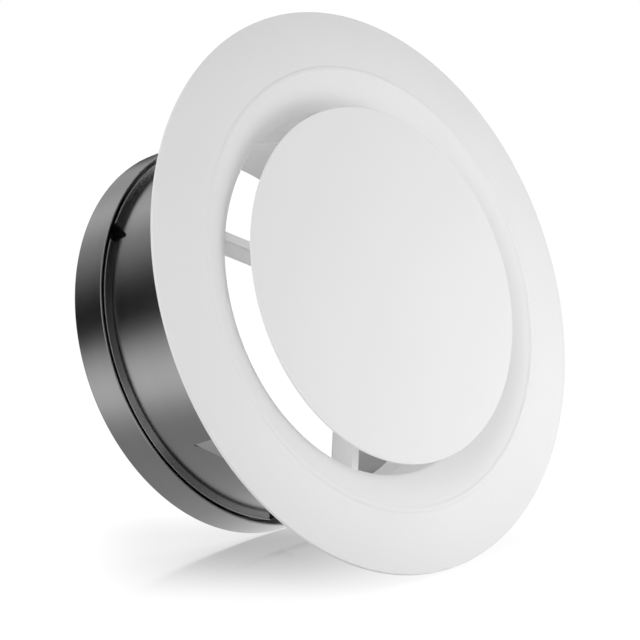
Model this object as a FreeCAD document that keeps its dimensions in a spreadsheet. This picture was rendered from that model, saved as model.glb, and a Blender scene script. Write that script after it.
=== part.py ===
"""Adjustable ceiling vent: a screw-in disc in a domed face ring on a bayonet neck.

Millimetres. The origin is the centre of the collar's rear edge, where the vent
stands. +Z runs along its axis and out of the face. Angles are counted from +X
towards +Y.
"""
import FreeCAD
import Part

import math
import os

import PartDesign
import Sketcher
from FreeCAD import Placement, Rotation, Vector

SIZES = {
    # Face ring
    "seat_height": (75.5, "back of the flange above the collar's rear edge"),
    "face_width": (22.8, "width of the domed face outside the crest"),
    "rim_edge": (1.3, "height of the flange's edge"),
    "rim_foot": (4.5, "width of the edge's flat foot"),
    "foot_rise": (1.1, "height of the edge's inner side above the flange's back"),
    "rim_round": (0.5, "rounding of the edge's front corner"),
    "face_radius": (80.0, "radius of the domed face in section"),
    "crest_out": (14.85, "crest bead outside the throat's narrowest radius"),
    "crest_rise": (5.4, "crest above the flange's back"),
    "bead_half": (1.2, "half the width of the crest bead"),
    "bead_round": (2.0, "radius of the crest bead in section"),
    "face_wall": (1.8, "wall of the face ring"),
    "throat_curve": (30.0, "large radius of the throat in section"),
    "throat_drop": (3.2, "narrowest place behind the flange's back"),
    "throat_round": (3.0, "small radius where the throat meets the tube"),
    "throat_lean": (40.0, "slope where the throat's two curves meet, degrees"),
    # Inner tube, arms and hub
    "tube_wall": (1.6, "wall of the inner tube"),
    "tube_straight": (26.5, "straight length of the tube behind the flange's back"),
    "tube_length": (34.9, "whole length of the tube behind the flange's back"),
    "tube_taper": (2.3, "how far the tube's end draws in"),
    "arm_count": (4.0, "number of arms"),
    "arm_angle": (59.8, "direction of the first arm, degrees"),
    "arm_width": (3.5, "thickness of an arm"),
    "arm_drop": (0.6, "front of the arms behind the flange's back"),
    "arm_depth": (11.0, "depth of an arm along the axis"),
    "hub_radius": (14.0, "outer radius of the hub's cup"),
    "hub_wall": (2.8, "wall of the hub's cup"),
    "cup_depth": (8.0, "depth of the hub's cup"),
    "cup_floor": (2.4, "floor of the hub's cup"),
    "barrel_wall": (3.0, "wall of the hub's barrel round the bush"),
    # Ribs and gasket behind the flange
    "rib_count": (12.0, "number of ribs behind the flange"),
    "rib_width": (1.4, "thickness of a rib"),
    "rib_back": (0.8, "ribs stop short of the flange's back by this"),
    "rib_reach": (5.5, "reach of a rib inside the crest"),
    "channel_width": (7.5, "width of the gasket's channel"),
    "channel_wall": (1.5, "wall between the hollow and the channel"),
    "gasket_height": (1.0, "height of the foam gasket"),
    "gasket_gap": (0.3, "gap on both sides of the gasket"),
    # Neck sleeve
    "sleeve_sheet": (0.8, "sheet of the neck sleeve"),
    "sleeve_gap": (0.1, "gap between the tube and the sleeve"),
    "sleeve_rear": (6.6, "rear edge of the sleeve above the collar's rear edge"),
    "sleeve_drop": (3.6, "front edge of the sleeve behind the flange's back"),
    "fold_width": (1.8, "reach of the stop fold outside the sleeve"),
    "fold_sheet": (0.8, "thickness of the stop fold"),
    "fold_gap": (1.1, "gap between the stop fold and the collar"),
    "notch_count": (3.0, "number of bayonet notches, flaps and rivets"),
    "notch_angle": (228.2, "direction of the notch's straight side, degrees"),
    "cut_past": (1.0, "how far a cut runs past the edge it opens"),
    "stem_width": (3.8, "width of the bayonet slot's stem"),
    "head_width": (7.1, "width of the cam notch's foot"),
    "head_tip": (1.3, "width of the cam notch's tip"),
    "head_height": (7.3, "height of the cam notch"),
    "head_foot": (0.9, "foot of the cam notch behind the collar's front edge"),
    "slot_turn": (20.0, "twist from the locked place to the stem, degrees"),
    "slot_gap": (0.4, "gap between a dimple and its slot"),
    "flap_lag": (69.7, "direction of a flap past the notch's side, degrees"),
    "flap_tip": (30.1, "rear tip of a flap above the collar's rear edge"),
    "flap_length": (15.0, "length of a flap along the axis"),
    "flap_width": (13.0, "width of a flap at its front"),
    "flap_lift": (14.0, "angle that a flap is bent out by, degrees"),
    "flap_slit": (0.5, "slit round a flap in the sleeve"),
    # Collar
    "collar_radius": (73.65, "outer radius of the collar"),
    "collar_sheet": (0.8, "sheet of the collar"),
    "collar_height": (14.4, "height of the collar"),
    "collar_round": (0.3, "rounding of the collar's front edge"),
    "neck_gap": (0.4, "gap between the sleeve and the collar's inner neck"),
    "neck_drop": (1.6, "front of the collar's inner neck behind the tube's end"),
    "web_top": (5.6, "front of the web between the collar's band and neck"),
    "hem_height": (4.5, "height of the hem at the collar's rear edge"),
    "hem_width": (2.2, "width of the hem"),
    "dimple_radius": (1.3, "radius of a bayonet dimple"),
    "dimple_drop": (4.2, "middle of a dimple behind the collar's front edge"),
    "dimple_reach": (0.5, "dimple's reach past the sleeve's outer face"),
    # Disc
    "disc_inset": (0.9, "gap between the disc's edge and the throat's narrowest radius"),
    "disc_edge": (0.9, "thickness of the disc's edge"),
    "disc_round": (0.3, "rounding of the disc's edge"),
    "disc_crown": (0.4, "rise of the disc's middle above its edge"),
    "disc_front": (10.75, "front of the disc's edge above the flange's back"),
    "boss_radius": (8.5, "radius of the disc's boss"),
    "boss_depth": (5.0, "depth of the disc's boss"),
    # Spindle and what rides on it
    "spindle_radius": (4.6, "radius of the spindle over its thread"),
    "thread_gap": (0.05, "running gap in a thread"),
    "head_radius": (5.6, "radius of the spindle's knurled head"),
    "spindle_tip": (2.7, "length of the spindle behind the stop washer"),
    "end_chamfer": (0.9, "chamfer of the spindle's rear end"),
    "bush_radius": (7.5, "radius of the bush in the hub"),
    "bush_flange": (1.2, "flange of the bush"),
    "bush_flange_radius": (9.5, "radius of the bush's flange"),
    "bush_length": (9.0, "length of the bush below its flange"),
    "washer_sheet": (0.8, "thickness of the washers"),
    "washer_gap": (0.3, "gap between a washer and the spindle"),
    "disc_washer_radius": (9.5, "radius of the disc's washer"),
    "nut_flats": (15.0, "width over the flats of the disc's nut"),
    "nut_height": (3.4, "height of the disc's nut"),
    "seat_gap": (0.1, "gap between flat faces that part"),
    "lock_washer_radius": (10.0, "radius of the lock washer"),
    "lock_nut_radius": (12.0, "radius of the hand nut"),
    "lock_nut_height": (6.5, "height of the hand nut"),
    "flute_count": (12.0, "number of flutes round the hand nut"),
    "flute_radius": (1.7, "radius of a flute"),
    "flute_out": (0.6, "middle of a flute outside the hand nut's radius"),
    "stop_washer_radius": (8.0, "radius of the stop washer"),
    "stop_height": (35.3, "rear face of the stop washer above the rear edge"),
    "clip_sheet": (0.8, "thickness of the end clip"),
    "clip_radius": (7.0, "outer radius of the end clip"),
    "clip_mouth": (5.0, "opening of the end clip"),
    "groove_depth": (0.9, "depth of the spindle's clip groove"),
    "groove_gap": (0.1, "gap between the clip and its groove"),
    # Rivets
    "rivet_drop": (14.6, "rivets behind the flange's back"),
    "rivet_angle": (90.0, "direction of the first rivet, degrees"),
    "rivet_shank": (1.6, "radius of a rivet's shank"),
    "rivet_head": (2.8, "radius of a rivet's head"),
    "rivet_dome": (0.9, "height of a rivet's head"),
    "rivet_tail": (2.4, "radius of a rivet's tail"),
    "tail_height": (0.6, "height of a rivet's tail"),
}

os.makedirs("parts", exist_ok=True)
doc = FreeCAD.newDocument("AdjustableCeilingVent")
sheet = doc.addObject("Spreadsheet::Sheet", "Sizes")
for row, (alias, (number, meaning)) in enumerate(SIZES.items(), start=1):
    sheet.set(f"A{row}", meaning)
    sheet.set(f"B{row}", str(number))
    sheet.setAlias(f"B{row}", alias)
doc.recompute()


class Size:
    """A number and the spreadsheet rule that gives it, kept together."""

    def __init__(self, number, rule):
        self.number = number
        self.rule = rule

    def joined(self, sign, other, result):
        return Size(result, f"({self.rule} {sign} {other.rule})")

    def __add__(self, other):
        other = as_size(other)
        return self.joined("+", other, self.number + other.number)

    def __sub__(self, other):
        other = as_size(other)
        return self.joined("-", other, self.number - other.number)

    def __mul__(self, other):
        other = as_size(other)
        return self.joined("*", other, self.number * other.number)

    def __truediv__(self, other):
        other = as_size(other)
        return self.joined("/", other, self.number / other.number)

    def __neg__(self):
        return Size(-self.number, f"(-1 * {self.rule})")


def as_size(value):
    """A Size as it is, or a plain number as a Size."""
    if isinstance(value, Size):
        return value
    return Size(float(value), repr(float(value)))


def size(alias):
    """The size that a cell of the sheet holds."""
    return Size(SIZES[alias][0], f"Sizes.{alias}")


def sine(angle):
    return Size(math.sin(math.radians(angle.number)), f"sin({angle.rule})")


def cosine(angle):
    return Size(math.cos(math.radians(angle.number)), f"cos({angle.rule})")


def bind(feature, name, value):
    """Tie a property to the sheet."""
    feature.setExpression(name, as_size(value).rule)


ZERO = as_size(0.0)


def new_body(label):
    body = doc.addObject("PartDesign::Body", label)
    body.Label = label
    return body


def origin_part(body, role):
    for part in body.Origin.OriginFeatures:
        if part.Role == role:
            return part
    raise ValueError(role)


def new_sketch(body, name, plane="XZ_Plane"):
    sketch = body.newObject("Sketcher::SketchObject", name)
    sketch.AttachmentSupport = [(origin_part(body, plane), "")]
    sketch.MapMode = "FlatFace"
    return sketch


def turned_sketch(body, name, direction, distance=ZERO):
    """A sketch on an upright plane whose normal points in a direction.

    Its x runs a quarter turn past the normal, its y runs along +Z, and the plane
    lies at a distance from the axis.
    """
    sketch = new_sketch(body, name)
    turn = direction - 270.0
    sketch.AttachmentOffset = Placement(
        Vector(distance.number * math.sin(math.radians(turn.number)), 0,
               distance.number * math.cos(math.radians(turn.number))),
        Rotation(Vector(0, 1, 0), turn.number))
    bind(sketch, "AttachmentOffset.Base.x", distance * sine(turn))
    bind(sketch, "AttachmentOffset.Base.z", distance * cosine(turn))
    bind(sketch, "AttachmentOffset.Rotation.Angle", turn)
    return sketch


def level_sketch(body, name, height, turn=ZERO):
    """A sketch on a level plane at a height, turned about the axis."""
    sketch = new_sketch(body, name, "XY_Plane")
    sketch.AttachmentOffset = Placement(
        Vector(0, 0, height.number), Rotation(Vector(0, 0, 1), turn.number))
    bind(sketch, "AttachmentOffset.Base.z", height)
    if turn is not ZERO:
        bind(sketch, "AttachmentOffset.Rotation.Angle", turn)
    return sketch


def hold_point(sketch, edge, end, x, y):
    """Fix a point of a sketch at a place given by the sheet."""
    for axis, kind, value in ((-2, "DistanceX", x), (-1, "DistanceY", y)):
        if value.rule == ZERO.rule:
            sketch.addConstraint(Sketcher.Constraint("PointOnObject", edge, end, axis))
        else:
            place = Sketcher.Constraint(kind, -1, 1, edge, end, value.number)
            index = sketch.addConstraint(place)
            bind(sketch, f"Constraints[{index}]", value)


def arc_between(start, end, radius, bulge):
    """An arc through two points, bulging left (+1) or right (-1) of their line."""
    middle = (start + end) * 0.5
    chord = end - start
    sideways = Vector(-chord.y, chord.x, 0).normalize() * bulge
    rest = math.sqrt(max(radius ** 2 - (chord.Length / 2) ** 2, 0.0))
    top = middle + sideways * (radius - rest)
    return Part.Arc(start, top, end)


def outline(sketch, corners, arcs=None):
    """Draw a closed outline through corners, all held by the sheet.

    arcs maps the index of a side to (radius, bulge).
    """
    arcs = arcs or {}
    points = [Vector(x.number, y.number, 0) for x, y in corners]
    edges = []
    for side, start in enumerate(points):
        end = points[(side + 1) % len(points)]
        if side in arcs:
            radius, bulge = arcs[side]
            curve = arc_between(start, end, radius.number, bulge)
            edges.append((sketch.addGeometry(curve), bulge))
        else:
            edges.append((sketch.addGeometry(Part.LineSegment(start, end)), 0))
    # An arc runs anticlockwise, so one that bulges left runs backwards.
    first = [(edge, 2 if bulge > 0 else 1) for edge, bulge in edges]
    last = [(edge, 1 if bulge > 0 else 2) for edge, bulge in edges]
    for side in range(len(edges)):
        joint = last[side - 1] + first[side]
        sketch.addConstraint(Sketcher.Constraint("Coincident", *joint))
    for side, (x, y) in enumerate(corners):
        hold_point(sketch, first[side][0], first[side][1], x, y)
    for side, (radius, bulge) in arcs.items():
        bend = Sketcher.Constraint("Radius", edges[side][0], radius.number)
        bind(sketch, f"Constraints[{sketch.addConstraint(bend)}]", radius)


def ring(sketch, radius, x=ZERO, y=ZERO):
    """A circle held by the sheet."""
    circle = Part.Circle(Vector(x.number, y.number, 0), Vector(0, 0, 1), radius.number)
    edge = sketch.addGeometry(circle)
    hold_point(sketch, edge, 3, x, y)
    bend = Sketcher.Constraint("Radius", edge, radius.number)
    bind(sketch, f"Constraints[{sketch.addConstraint(bend)}]", radius)


def block(left, right, low, high):
    """The corners of a rectangle."""
    return [(left, low), (right, low), (right, high), (left, high)]


def revolved(body, name, corners, arcs=None):
    """Turn an outline in the XZ plane about the axis."""
    sketch = new_sketch(body, name + "Outline")
    outline(sketch, corners, arcs)
    feature = body.newObject("PartDesign::Revolution", name)
    feature.Profile = sketch
    feature.ReferenceAxis = (sketch, ["V_Axis"])
    feature.Angle = 360
    return feature


def padded(body, name, sketch, length, both_ways=False, backwards=False):
    feature = body.newObject("PartDesign::Pad", name)
    feature.Profile = sketch
    bind(feature, "Length", length)
    if both_ways:
        feature.SideType = "Symmetric"
    feature.Reversed = backwards
    return feature


def pocketed(body, name, sketch, length, backwards=False):
    """Cut a sketch out of a body, against its normal or, backwards, along it."""
    before = volume_of(body)
    feature = body.newObject("PartDesign::Pocket", name)
    feature.Profile = sketch
    bind(feature, "Length", length)
    feature.Reversed = backwards
    if volume_of(body) >= before:
        raise RuntimeError(name + " cuts nothing")
    return feature


def volume_of(body):
    doc.recompute()
    return body.Shape.Volume


def repeated(body, name, originals, count, angle=360):
    """Repeat features round the axis."""
    pattern = body.newObject("PartDesign::PolarPattern", name)
    pattern.Originals = originals
    pattern.Axis = (origin_part(body, "Z_Axis"), [""])
    pattern.Angle = angle
    bind(pattern, "Occurrences", count)
    body.Tip = pattern
    return pattern


def rounded(body, name, rings, radius):
    """Round the circular edges, each given by its radius and height."""
    doc.recompute()
    base = body.Tip
    names = []
    for index, edge in enumerate(base.Shape.Edges, start=1):
        if edge.Degenerated or not isinstance(edge.Curve, Part.Circle):
            continue
        for wide, high in rings:
            wide_fits = abs(edge.Curve.Radius - wide.number) < 1e-4
            if wide_fits and abs(edge.Curve.Center.z - high.number) < 1e-4:
                names.append(f"Edge{index}")
    feature = body.newObject("PartDesign::Fillet", name)
    feature.Base = (base, names)
    bind(feature, "Radius", radius)
    return feature


seat = size("seat_height")
collar_radius = size("collar_radius")
band_inner = collar_radius - size("collar_sheet")
fold_radius = band_inner - size("fold_gap")
sleeve_outer = fold_radius - size("fold_width")
sleeve_inner = sleeve_outer - size("sleeve_sheet")
tube_outer = sleeve_inner - size("sleeve_gap")
throat_radius = tube_outer - size("tube_wall")
tube_end = seat - size("tube_length")
crest_radius = throat_radius + size("crest_out")
rim_radius = crest_radius + size("face_width")
foot_inner = rim_radius - size("rim_foot")
channel_inner = foot_inner - size("channel_width")
crest_top = seat + size("crest_rise")
face_wall = size("face_wall")
arm_front = seat - size("arm_drop")
cup_inner = size("hub_radius") - size("hub_wall")
cup_base = arm_front - size("cup_depth")
bush_end = cup_base - size("bush_length")
spindle_radius = size("spindle_radius")
thread_bore = spindle_radius + size("thread_gap")
shoulder = size("collar_height")
dimple_height = shoulder - size("dimple_drop")
disc_back = seat + size("disc_front") - size("disc_edge")
boss_end = disc_back - size("boss_depth")


def make_face_ring():
    """White moulding: domed flange, throat, tube, arms and hub."""
    body = new_body("face_ring")
    lean = size("throat_lean")
    throat_round = size("throat_round")
    throat_height = seat - size("throat_drop")
    bend_x = throat_radius + throat_round * (as_size(1.0) - sine(lean))
    bend_y = throat_height + throat_round * cosine(lean)
    under_bend_x = bend_x + face_wall * sine(lean)
    under_bend_y = bend_y - face_wall * cosine(lean)
    tube_turn = seat - size("tube_straight")
    taper = size("tube_taper")
    bead_half = size("bead_half")
    corners = [
        (rim_radius, seat),
        (rim_radius, seat + size("rim_edge")),
        (crest_radius + bead_half, crest_top),
        (crest_radius - bead_half, crest_top),
        (bend_x, bend_y),
        (throat_radius, throat_height),
        (throat_radius, tube_turn),
        (throat_radius - taper, tube_end),
        (tube_outer - taper, tube_end),
        (tube_outer, tube_turn),
        (tube_outer, under_bend_y - face_wall / 2),
        (under_bend_x, under_bend_y),
        (crest_radius, crest_top - face_wall),
        (foot_inner, seat + size("foot_rise")),
        (foot_inner, seat),
    ]
    arcs = {
        1: (size("face_radius"), -1),
        2: (size("bead_round"), -1),
        3: (size("throat_curve"), -1),
        4: (throat_round, -1),
        12: (size("face_radius") - face_wall, 1),
    }
    revolved(body, "Shell", corners, arcs)
    rounded(body, "RimEdge", [(rim_radius, seat + size("rim_edge"))], size("rim_round"))

    wall_sketch = level_sketch(body, "ChannelWallSketch", seat)
    ring(wall_sketch, channel_inner)
    ring(wall_sketch, channel_inner - size("channel_wall"))
    inside_face = (size("rim_edge") + size("crest_rise")) / 2
    padded(body, "ChannelWall", wall_sketch, inside_face)

    rib_sketch = new_sketch(body, "RibSketch")
    rib_outer = channel_inner - size("channel_wall") / 2
    outline(rib_sketch, [
        (crest_radius - size("rib_reach"), seat + size("rib_back")),
        (rib_outer, seat + size("rib_back")),
        (rib_outer, seat + inside_face),
        (crest_radius, crest_top - face_wall / 2),
    ])
    rib = padded(body, "Rib", rib_sketch, size("rib_width"), both_ways=True)
    repeated(body, "Ribs", [rib], size("rib_count"))

    cup_sketch_corners = [
        (cup_inner, cup_base),
        (cup_inner, arm_front),
        (size("hub_radius"), arm_front),
        (size("hub_radius"), cup_base - size("cup_floor")),
        (size("bush_radius") + size("barrel_wall"), cup_base - size("cup_floor")),
        (size("bush_radius") + size("barrel_wall"), bush_end + size("bush_flange")),
        (size("bush_radius"), bush_end + size("bush_flange")),
        (size("bush_radius"), cup_base),
    ]
    arm_sketch = turned_sketch(body, "ArmSketch", size("arm_angle") - 90.0)
    arm_root = size("hub_radius") - size("hub_wall") / 2
    arm_end = tube_outer - size("tube_wall") / 4
    outline(arm_sketch, block(arm_root, arm_end, arm_front - size("arm_depth"), arm_front))
    arm = padded(body, "Arm", arm_sketch, size("arm_width"), both_ways=True)
    repeated(body, "Arms", [arm], size("arm_count"))
    revolved(body, "Hub", cup_sketch_corners)
    cut_rivet_holes(body)
    return body


def cut_rivet_holes(body):
    """Holes for the rivets through the tube or the sleeve."""
    hole_sketch = turned_sketch(body, "RivetHoleSketch", size("rivet_angle"))
    ring(hole_sketch, size("rivet_shank"), ZERO, seat - size("rivet_drop"))
    hole = pocketed(body, "RivetHole", hole_sketch, rim_radius, backwards=True)
    repeated(body, "RivetHoles", [hole], size("notch_count"))


def make_flange_gasket():
    """Foam ring in the channel behind the flange."""
    body = new_body("flange_gasket")
    gap = size("gasket_gap")
    revolved(body, "Foam", block(channel_inner + gap, foot_inner - gap,
                                 seat, seat + size("gasket_height")))
    return body


def make_neck_sleeve():
    """Dark sheet neck with a stop fold, cam notches, bayonet slots and flaps."""
    body = new_body("neck_sleeve")
    sleeve_rear = size("sleeve_rear")
    sleeve_front = seat - size("sleeve_drop")
    fold_back = shoulder - size("fold_sheet")
    revolved(body, "Tube", [
        (sleeve_inner, sleeve_rear),
        (sleeve_outer, sleeve_rear),
        (sleeve_outer, fold_back),
        (fold_radius, fold_back),
        (fold_radius, shoulder),
        (sleeve_outer, shoulder),
        (sleeve_outer, sleeve_front),
        (sleeve_inner, sleeve_front),
    ])
    cut_rivet_holes(body)
    through = rim_radius

    # The notch is drawn square to its straight side, whose x is 0.
    side = size("notch_angle")
    foot = shoulder - size("head_foot")
    slot_half = size("dimple_radius") + size("slot_gap")
    open_end = sleeve_rear - size("cut_past")
    notch_sketch = turned_sketch(body, "NotchSketch", side)
    outline(notch_sketch, [
        (ZERO, open_end),
        (ZERO, foot + size("head_height")),
        (-size("head_tip"), foot + size("head_height")),
        (-size("head_width"), foot),
        (-size("stem_width"), foot),
        (-size("stem_width"), open_end),
    ])
    notch = pocketed(body, "Notch", notch_sketch, through, backwards=True)

    # The leg runs from the stem back to the locked place, cut as a level sector.
    stem_middle = side - stem_half_angle()
    leg_sketch = level_sketch(body, "LegSketch", dimple_height - slot_half,
                              stem_middle - size("slot_turn"))
    reach = collar_radius
    turn = size("slot_turn")
    outline(leg_sketch, [
        (ZERO, -slot_half),
        (reach, -slot_half),
        (reach, reach * sine(turn)),
        (reach * cosine(turn), reach * sine(turn)),
        (ZERO, ZERO),
    ])
    leg = body.newObject("PartDesign::Pocket", "Leg")
    leg.Profile = leg_sketch
    bind(leg, "Length", slot_half * 2)
    leg.Reversed = True

    flap_at = side + size("flap_lag")
    flap_low = size("flap_tip")
    flap_high = flap_low + size("flap_length")
    slit = size("flap_slit")
    window_sketch = turned_sketch(body, "WindowSketch", flap_at)
    outline(window_sketch, [
        (ZERO, flap_low - slit * 2),
        (size("flap_width") + slit, flap_high),
        (ZERO, flap_high),
    ])
    window = pocketed(body, "Window", window_sketch, through, backwards=True)

    middle = (sleeve_inner + sleeve_outer) / 2
    lift = size("flap_lift")
    flap_sketch = turned_sketch(body, "FlapSketch", flap_at - lift,
                                middle * cosine(lift))
    hinge = middle * sine(lift)
    outline(flap_sketch, [
        (hinge - size("sleeve_sheet") / 2, flap_low),
        (hinge + size("flap_width"), flap_high),
        (hinge - size("sleeve_sheet") / 2, flap_high),
    ])
    flap = padded(body, "Flap", flap_sketch, size("sleeve_sheet"), both_ways=True)
    repeated(body, "NotchesAndFlaps", [notch, leg, window, flap], size("notch_count"))
    return body


def stem_half_angle():
    """Half the stem's width as an angle at the sleeve, in degrees."""
    turn_per_length = as_size(180.0 / math.pi) / sleeve_outer
    return size("stem_width") / 2 * turn_per_length


def make_duct_collar():
    """Pressed collar: outer band, web, inner neck with dimples, and a hem."""
    body = new_body("duct_collar")
    sheet_wall = size("collar_sheet")
    neck_outer = sleeve_inner - size("neck_gap")
    neck_inner = neck_outer - sheet_wall
    neck_top = tube_end - size("neck_drop")
    hem_inner = collar_radius - size("hem_width")
    corners = [
        (collar_radius, ZERO),
        (collar_radius, shoulder),
        (band_inner, shoulder),
        (band_inner, size("web_top")),
        (neck_outer, size("web_top")),
        (neck_outer, neck_top),
        (neck_inner, neck_top),
        (neck_inner, size("hem_height")),
        (hem_inner, size("hem_height")),
        (hem_inner, ZERO),
    ]
    revolved(body, "Ring", corners)
    rounded(body, "FrontEdges", [(collar_radius, shoulder), (band_inner, shoulder)],
            size("collar_round"))

    locked = size("notch_angle") - stem_half_angle() - size("slot_turn")
    root = neck_inner + sheet_wall / 2
    dimple_sketch = turned_sketch(body, "DimpleSketch", locked, root)
    ring(dimple_sketch, size("dimple_radius"), ZERO, dimple_height)
    reach = sleeve_outer + size("dimple_reach") - root
    dimple = padded(body, "Dimple", dimple_sketch, reach)
    repeated(body, "Dimples", [dimple], size("notch_count"))
    return body


def make_valve_disc():
    """White disc with a low crown and a boss for the spindle's head."""
    body = new_body("valve_disc")
    radius = throat_radius - size("disc_inset")
    front = disc_back + size("disc_edge")
    pocket = size("head_radius") + size("thread_gap")
    edge_round = size("disc_round")
    face_radius = radius - edge_round
    corners = [
        (ZERO, disc_back),
        (ZERO, front + size("disc_crown")),
        (face_radius, front),
        (radius, front - edge_round),
        (radius, disc_back + edge_round),
        (face_radius, disc_back),
        (size("boss_radius"), disc_back),
        (size("boss_radius"), boss_end),
        (pocket, boss_end),
        (pocket, disc_back),
    ]
    crown = size("disc_crown")
    crown_radius = (face_radius * face_radius + crown * crown) / (crown * 2)
    arcs = {1: (crown_radius, 1), 2: (edge_round, 1), 4: (edge_round, 1)}
    revolved(body, "Plate", corners, arcs)
    return body


def make_spindle():
    """Spindle over its thread, with a knurled head and a groove for the clip."""
    body = new_body("spindle")
    end = size("stop_height") - size("spindle_tip")
    head = size("head_radius")
    chamfer = size("end_chamfer")
    groove = spindle_radius - size("groove_depth")
    groove_low = size("stop_height") - size("clip_sheet") - size("groove_gap") * 2
    groove_high = size("stop_height")
    corners = [
        (ZERO, end),
        (spindle_radius - chamfer, end),
        (spindle_radius, end + chamfer),
        (spindle_radius, groove_low),
        (groove, groove_low),
        (groove, groove_high),
        (spindle_radius, groove_high),
        (spindle_radius, boss_end),
        (head, boss_end),
        (head, disc_back),
        (ZERO, disc_back),
    ]
    revolved(body, "Shaft", corners)
    return body


def make_hub_bush():
    """Threaded bush with a flange on the floor of the hub's cup."""
    body = new_body("hub_bush")
    corners = [
        (thread_bore, bush_end),
        (size("bush_radius"), bush_end),
        (size("bush_radius"), cup_base),
        (size("bush_flange_radius"), cup_base),
        (size("bush_flange_radius"), cup_base + size("bush_flange")),
        (thread_bore, cup_base + size("bush_flange")),
    ]
    revolved(body, "Bush", corners)
    return body


def make_washer(label, bore, radius, low):
    """Flat washer of the common sheet."""
    body = new_body(label)
    revolved(body, "Ring", block(bore, radius, low, low + size("washer_sheet")))
    return body


def make_disc_nut():
    """Hexagon nut against the disc's washer."""
    body = new_body("disc_nut")
    top = boss_end - size("washer_sheet")
    low = top - size("nut_height")
    sketch = level_sketch(body, "HexagonSketch", low)
    corner = size("nut_flats") / math.sqrt(3.0)
    sides = 6
    turns = [as_size(360.0 / sides * step) for step in range(sides)]
    outline(sketch, [(corner * cosine(turn), corner * sine(turn)) for turn in turns])
    padded(body, "Hexagon", sketch, size("nut_height"))
    bore_sketch = level_sketch(body, "BoreSketch", top)
    ring(bore_sketch, thread_bore)
    pocketed(body, "Bore", bore_sketch, size("nut_height"))
    return body


def make_lock_nut():
    """Hand nut with flutes round its grip."""
    body = new_body("lock_nut")
    top = bush_end - size("washer_sheet") - size("seat_gap") * 2
    low = top - size("lock_nut_height")
    grip = size("lock_nut_radius")
    face = size("bush_flange_radius")
    slope = size("flute_radius")
    corners = [
        (thread_bore, low),
        (face, low),
        (grip, low + slope),
        (grip, top - slope),
        (face, top),
        (thread_bore, top),
    ]
    revolved(body, "Grip", corners)
    sketch = level_sketch(body, "FluteSketch", low)
    ring(sketch, size("flute_radius"), grip + size("flute_out"))
    flute = pocketed(body, "Flute", sketch, size("lock_nut_height"), backwards=True)
    repeated(body, "Flutes", [flute], size("flute_count"))
    return body


def make_end_clip():
    """Open clip in the spindle's groove."""
    body = new_body("end_clip")
    low = size("stop_height") - size("clip_sheet") - size("groove_gap")
    inner = spindle_radius - size("groove_depth") + size("groove_gap")
    corners = block(inner, size("clip_radius"), low, low + size("clip_sheet"))
    revolved(body, "Ring", corners)
    sketch = level_sketch(body, "MouthSketch", low)
    half = size("clip_mouth") / 2
    outline(sketch, block(ZERO, size("clip_radius") + size("cut_past"), -half, half))
    pocketed(body, "Mouth", sketch, size("clip_sheet"), backwards=True)
    return body


def make_sleeve_rivets():
    """Three rivets through the sleeve and the tube, as one group of solids."""
    body = new_body("sleeve_rivets")
    body.AllowCompound = True
    tail_front = throat_radius - size("seat_gap")
    shank = size("rivet_shank")
    axis = seat - size("rivet_drop")
    tail = axis + size("rivet_tail")
    head = size("rivet_head")
    dome = size("rivet_dome")
    corners = [
        (tail_front - size("tail_height"), axis),
        (tail_front - size("tail_height"), tail),
        (tail_front, tail),
        (tail_front, axis + shank),
        (sleeve_outer, axis + shank),
        (sleeve_outer, axis + head),
        (sleeve_outer + dome, axis),
    ]
    dome_radius = (head * head + dome * dome) / (dome * 2)
    # This plane holds the rivet's axis, and its x points outwards.
    sketch = turned_sketch(body, "RivetOutline", size("rivet_angle") - 90.0)
    outline(sketch, corners, {5: (dome_radius, 1)})
    feature = body.newObject("PartDesign::Revolution", "Rivet")
    feature.Profile = sketch
    feature.ReferenceAxis = (sketch, [f"Edge{len(corners)}"])
    feature.Angle = 360
    repeated(body, "Rivets", [feature], size("notch_count"))
    return body


washer_bore = spindle_radius + size("washer_gap")
sub_parts = [
    make_face_ring(),
    make_flange_gasket(),
    make_neck_sleeve(),
    make_sleeve_rivets(),
    make_duct_collar(),
    make_valve_disc(),
    make_spindle(),
    make_hub_bush(),
    make_washer("disc_washer", thread_bore, size("disc_washer_radius"),
                boss_end - size("washer_sheet")),
    make_disc_nut(),
    make_washer("lock_washer", washer_bore, size("lock_washer_radius"),
                bush_end - size("washer_sheet") - size("seat_gap")),
    make_lock_nut(),
    make_washer("stop_washer", washer_bore, size("stop_washer_radius"),
                size("stop_height")),
    make_end_clip(),
]
doc.recompute()

for item in doc.Objects:
    if "Invalid" in item.State or "Error" in item.State:
        raise RuntimeError(f"{item.Label}: {item.State}")
for part in sub_parts:
    if part.Shape.isNull() or not part.Shape.isValid():
        raise RuntimeError(part.Label + " is not a valid solid")
for part in sub_parts:
    part.Shape.exportStep(f"parts/{part.Label}.step")
    solids = len(part.Shape.Solids)
    print(f"{part.Label}: {solids} solid(s), {part.Shape.Volume / 1000:.2f} cm3")
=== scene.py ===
"""Looks of an adjustable ceiling vent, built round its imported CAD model.

All sizes are millimetres in the model's own frame: the origin is the centre of the
collar's rear edge, +Z runs along the axis and out of the face, and angles are
counted from +X towards +Y. Pieces are scaled to metres as their meshes are made.
"""

import logging
import math
from collections.abc import Callable, Sequence
from dataclasses import dataclass
from enum import Enum
from functools import reduce

import bmesh
import bpy
import numpy as np
from mathutils import Matrix, Vector
from mathutils.geometry import delaunay_2d_cdt


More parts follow.
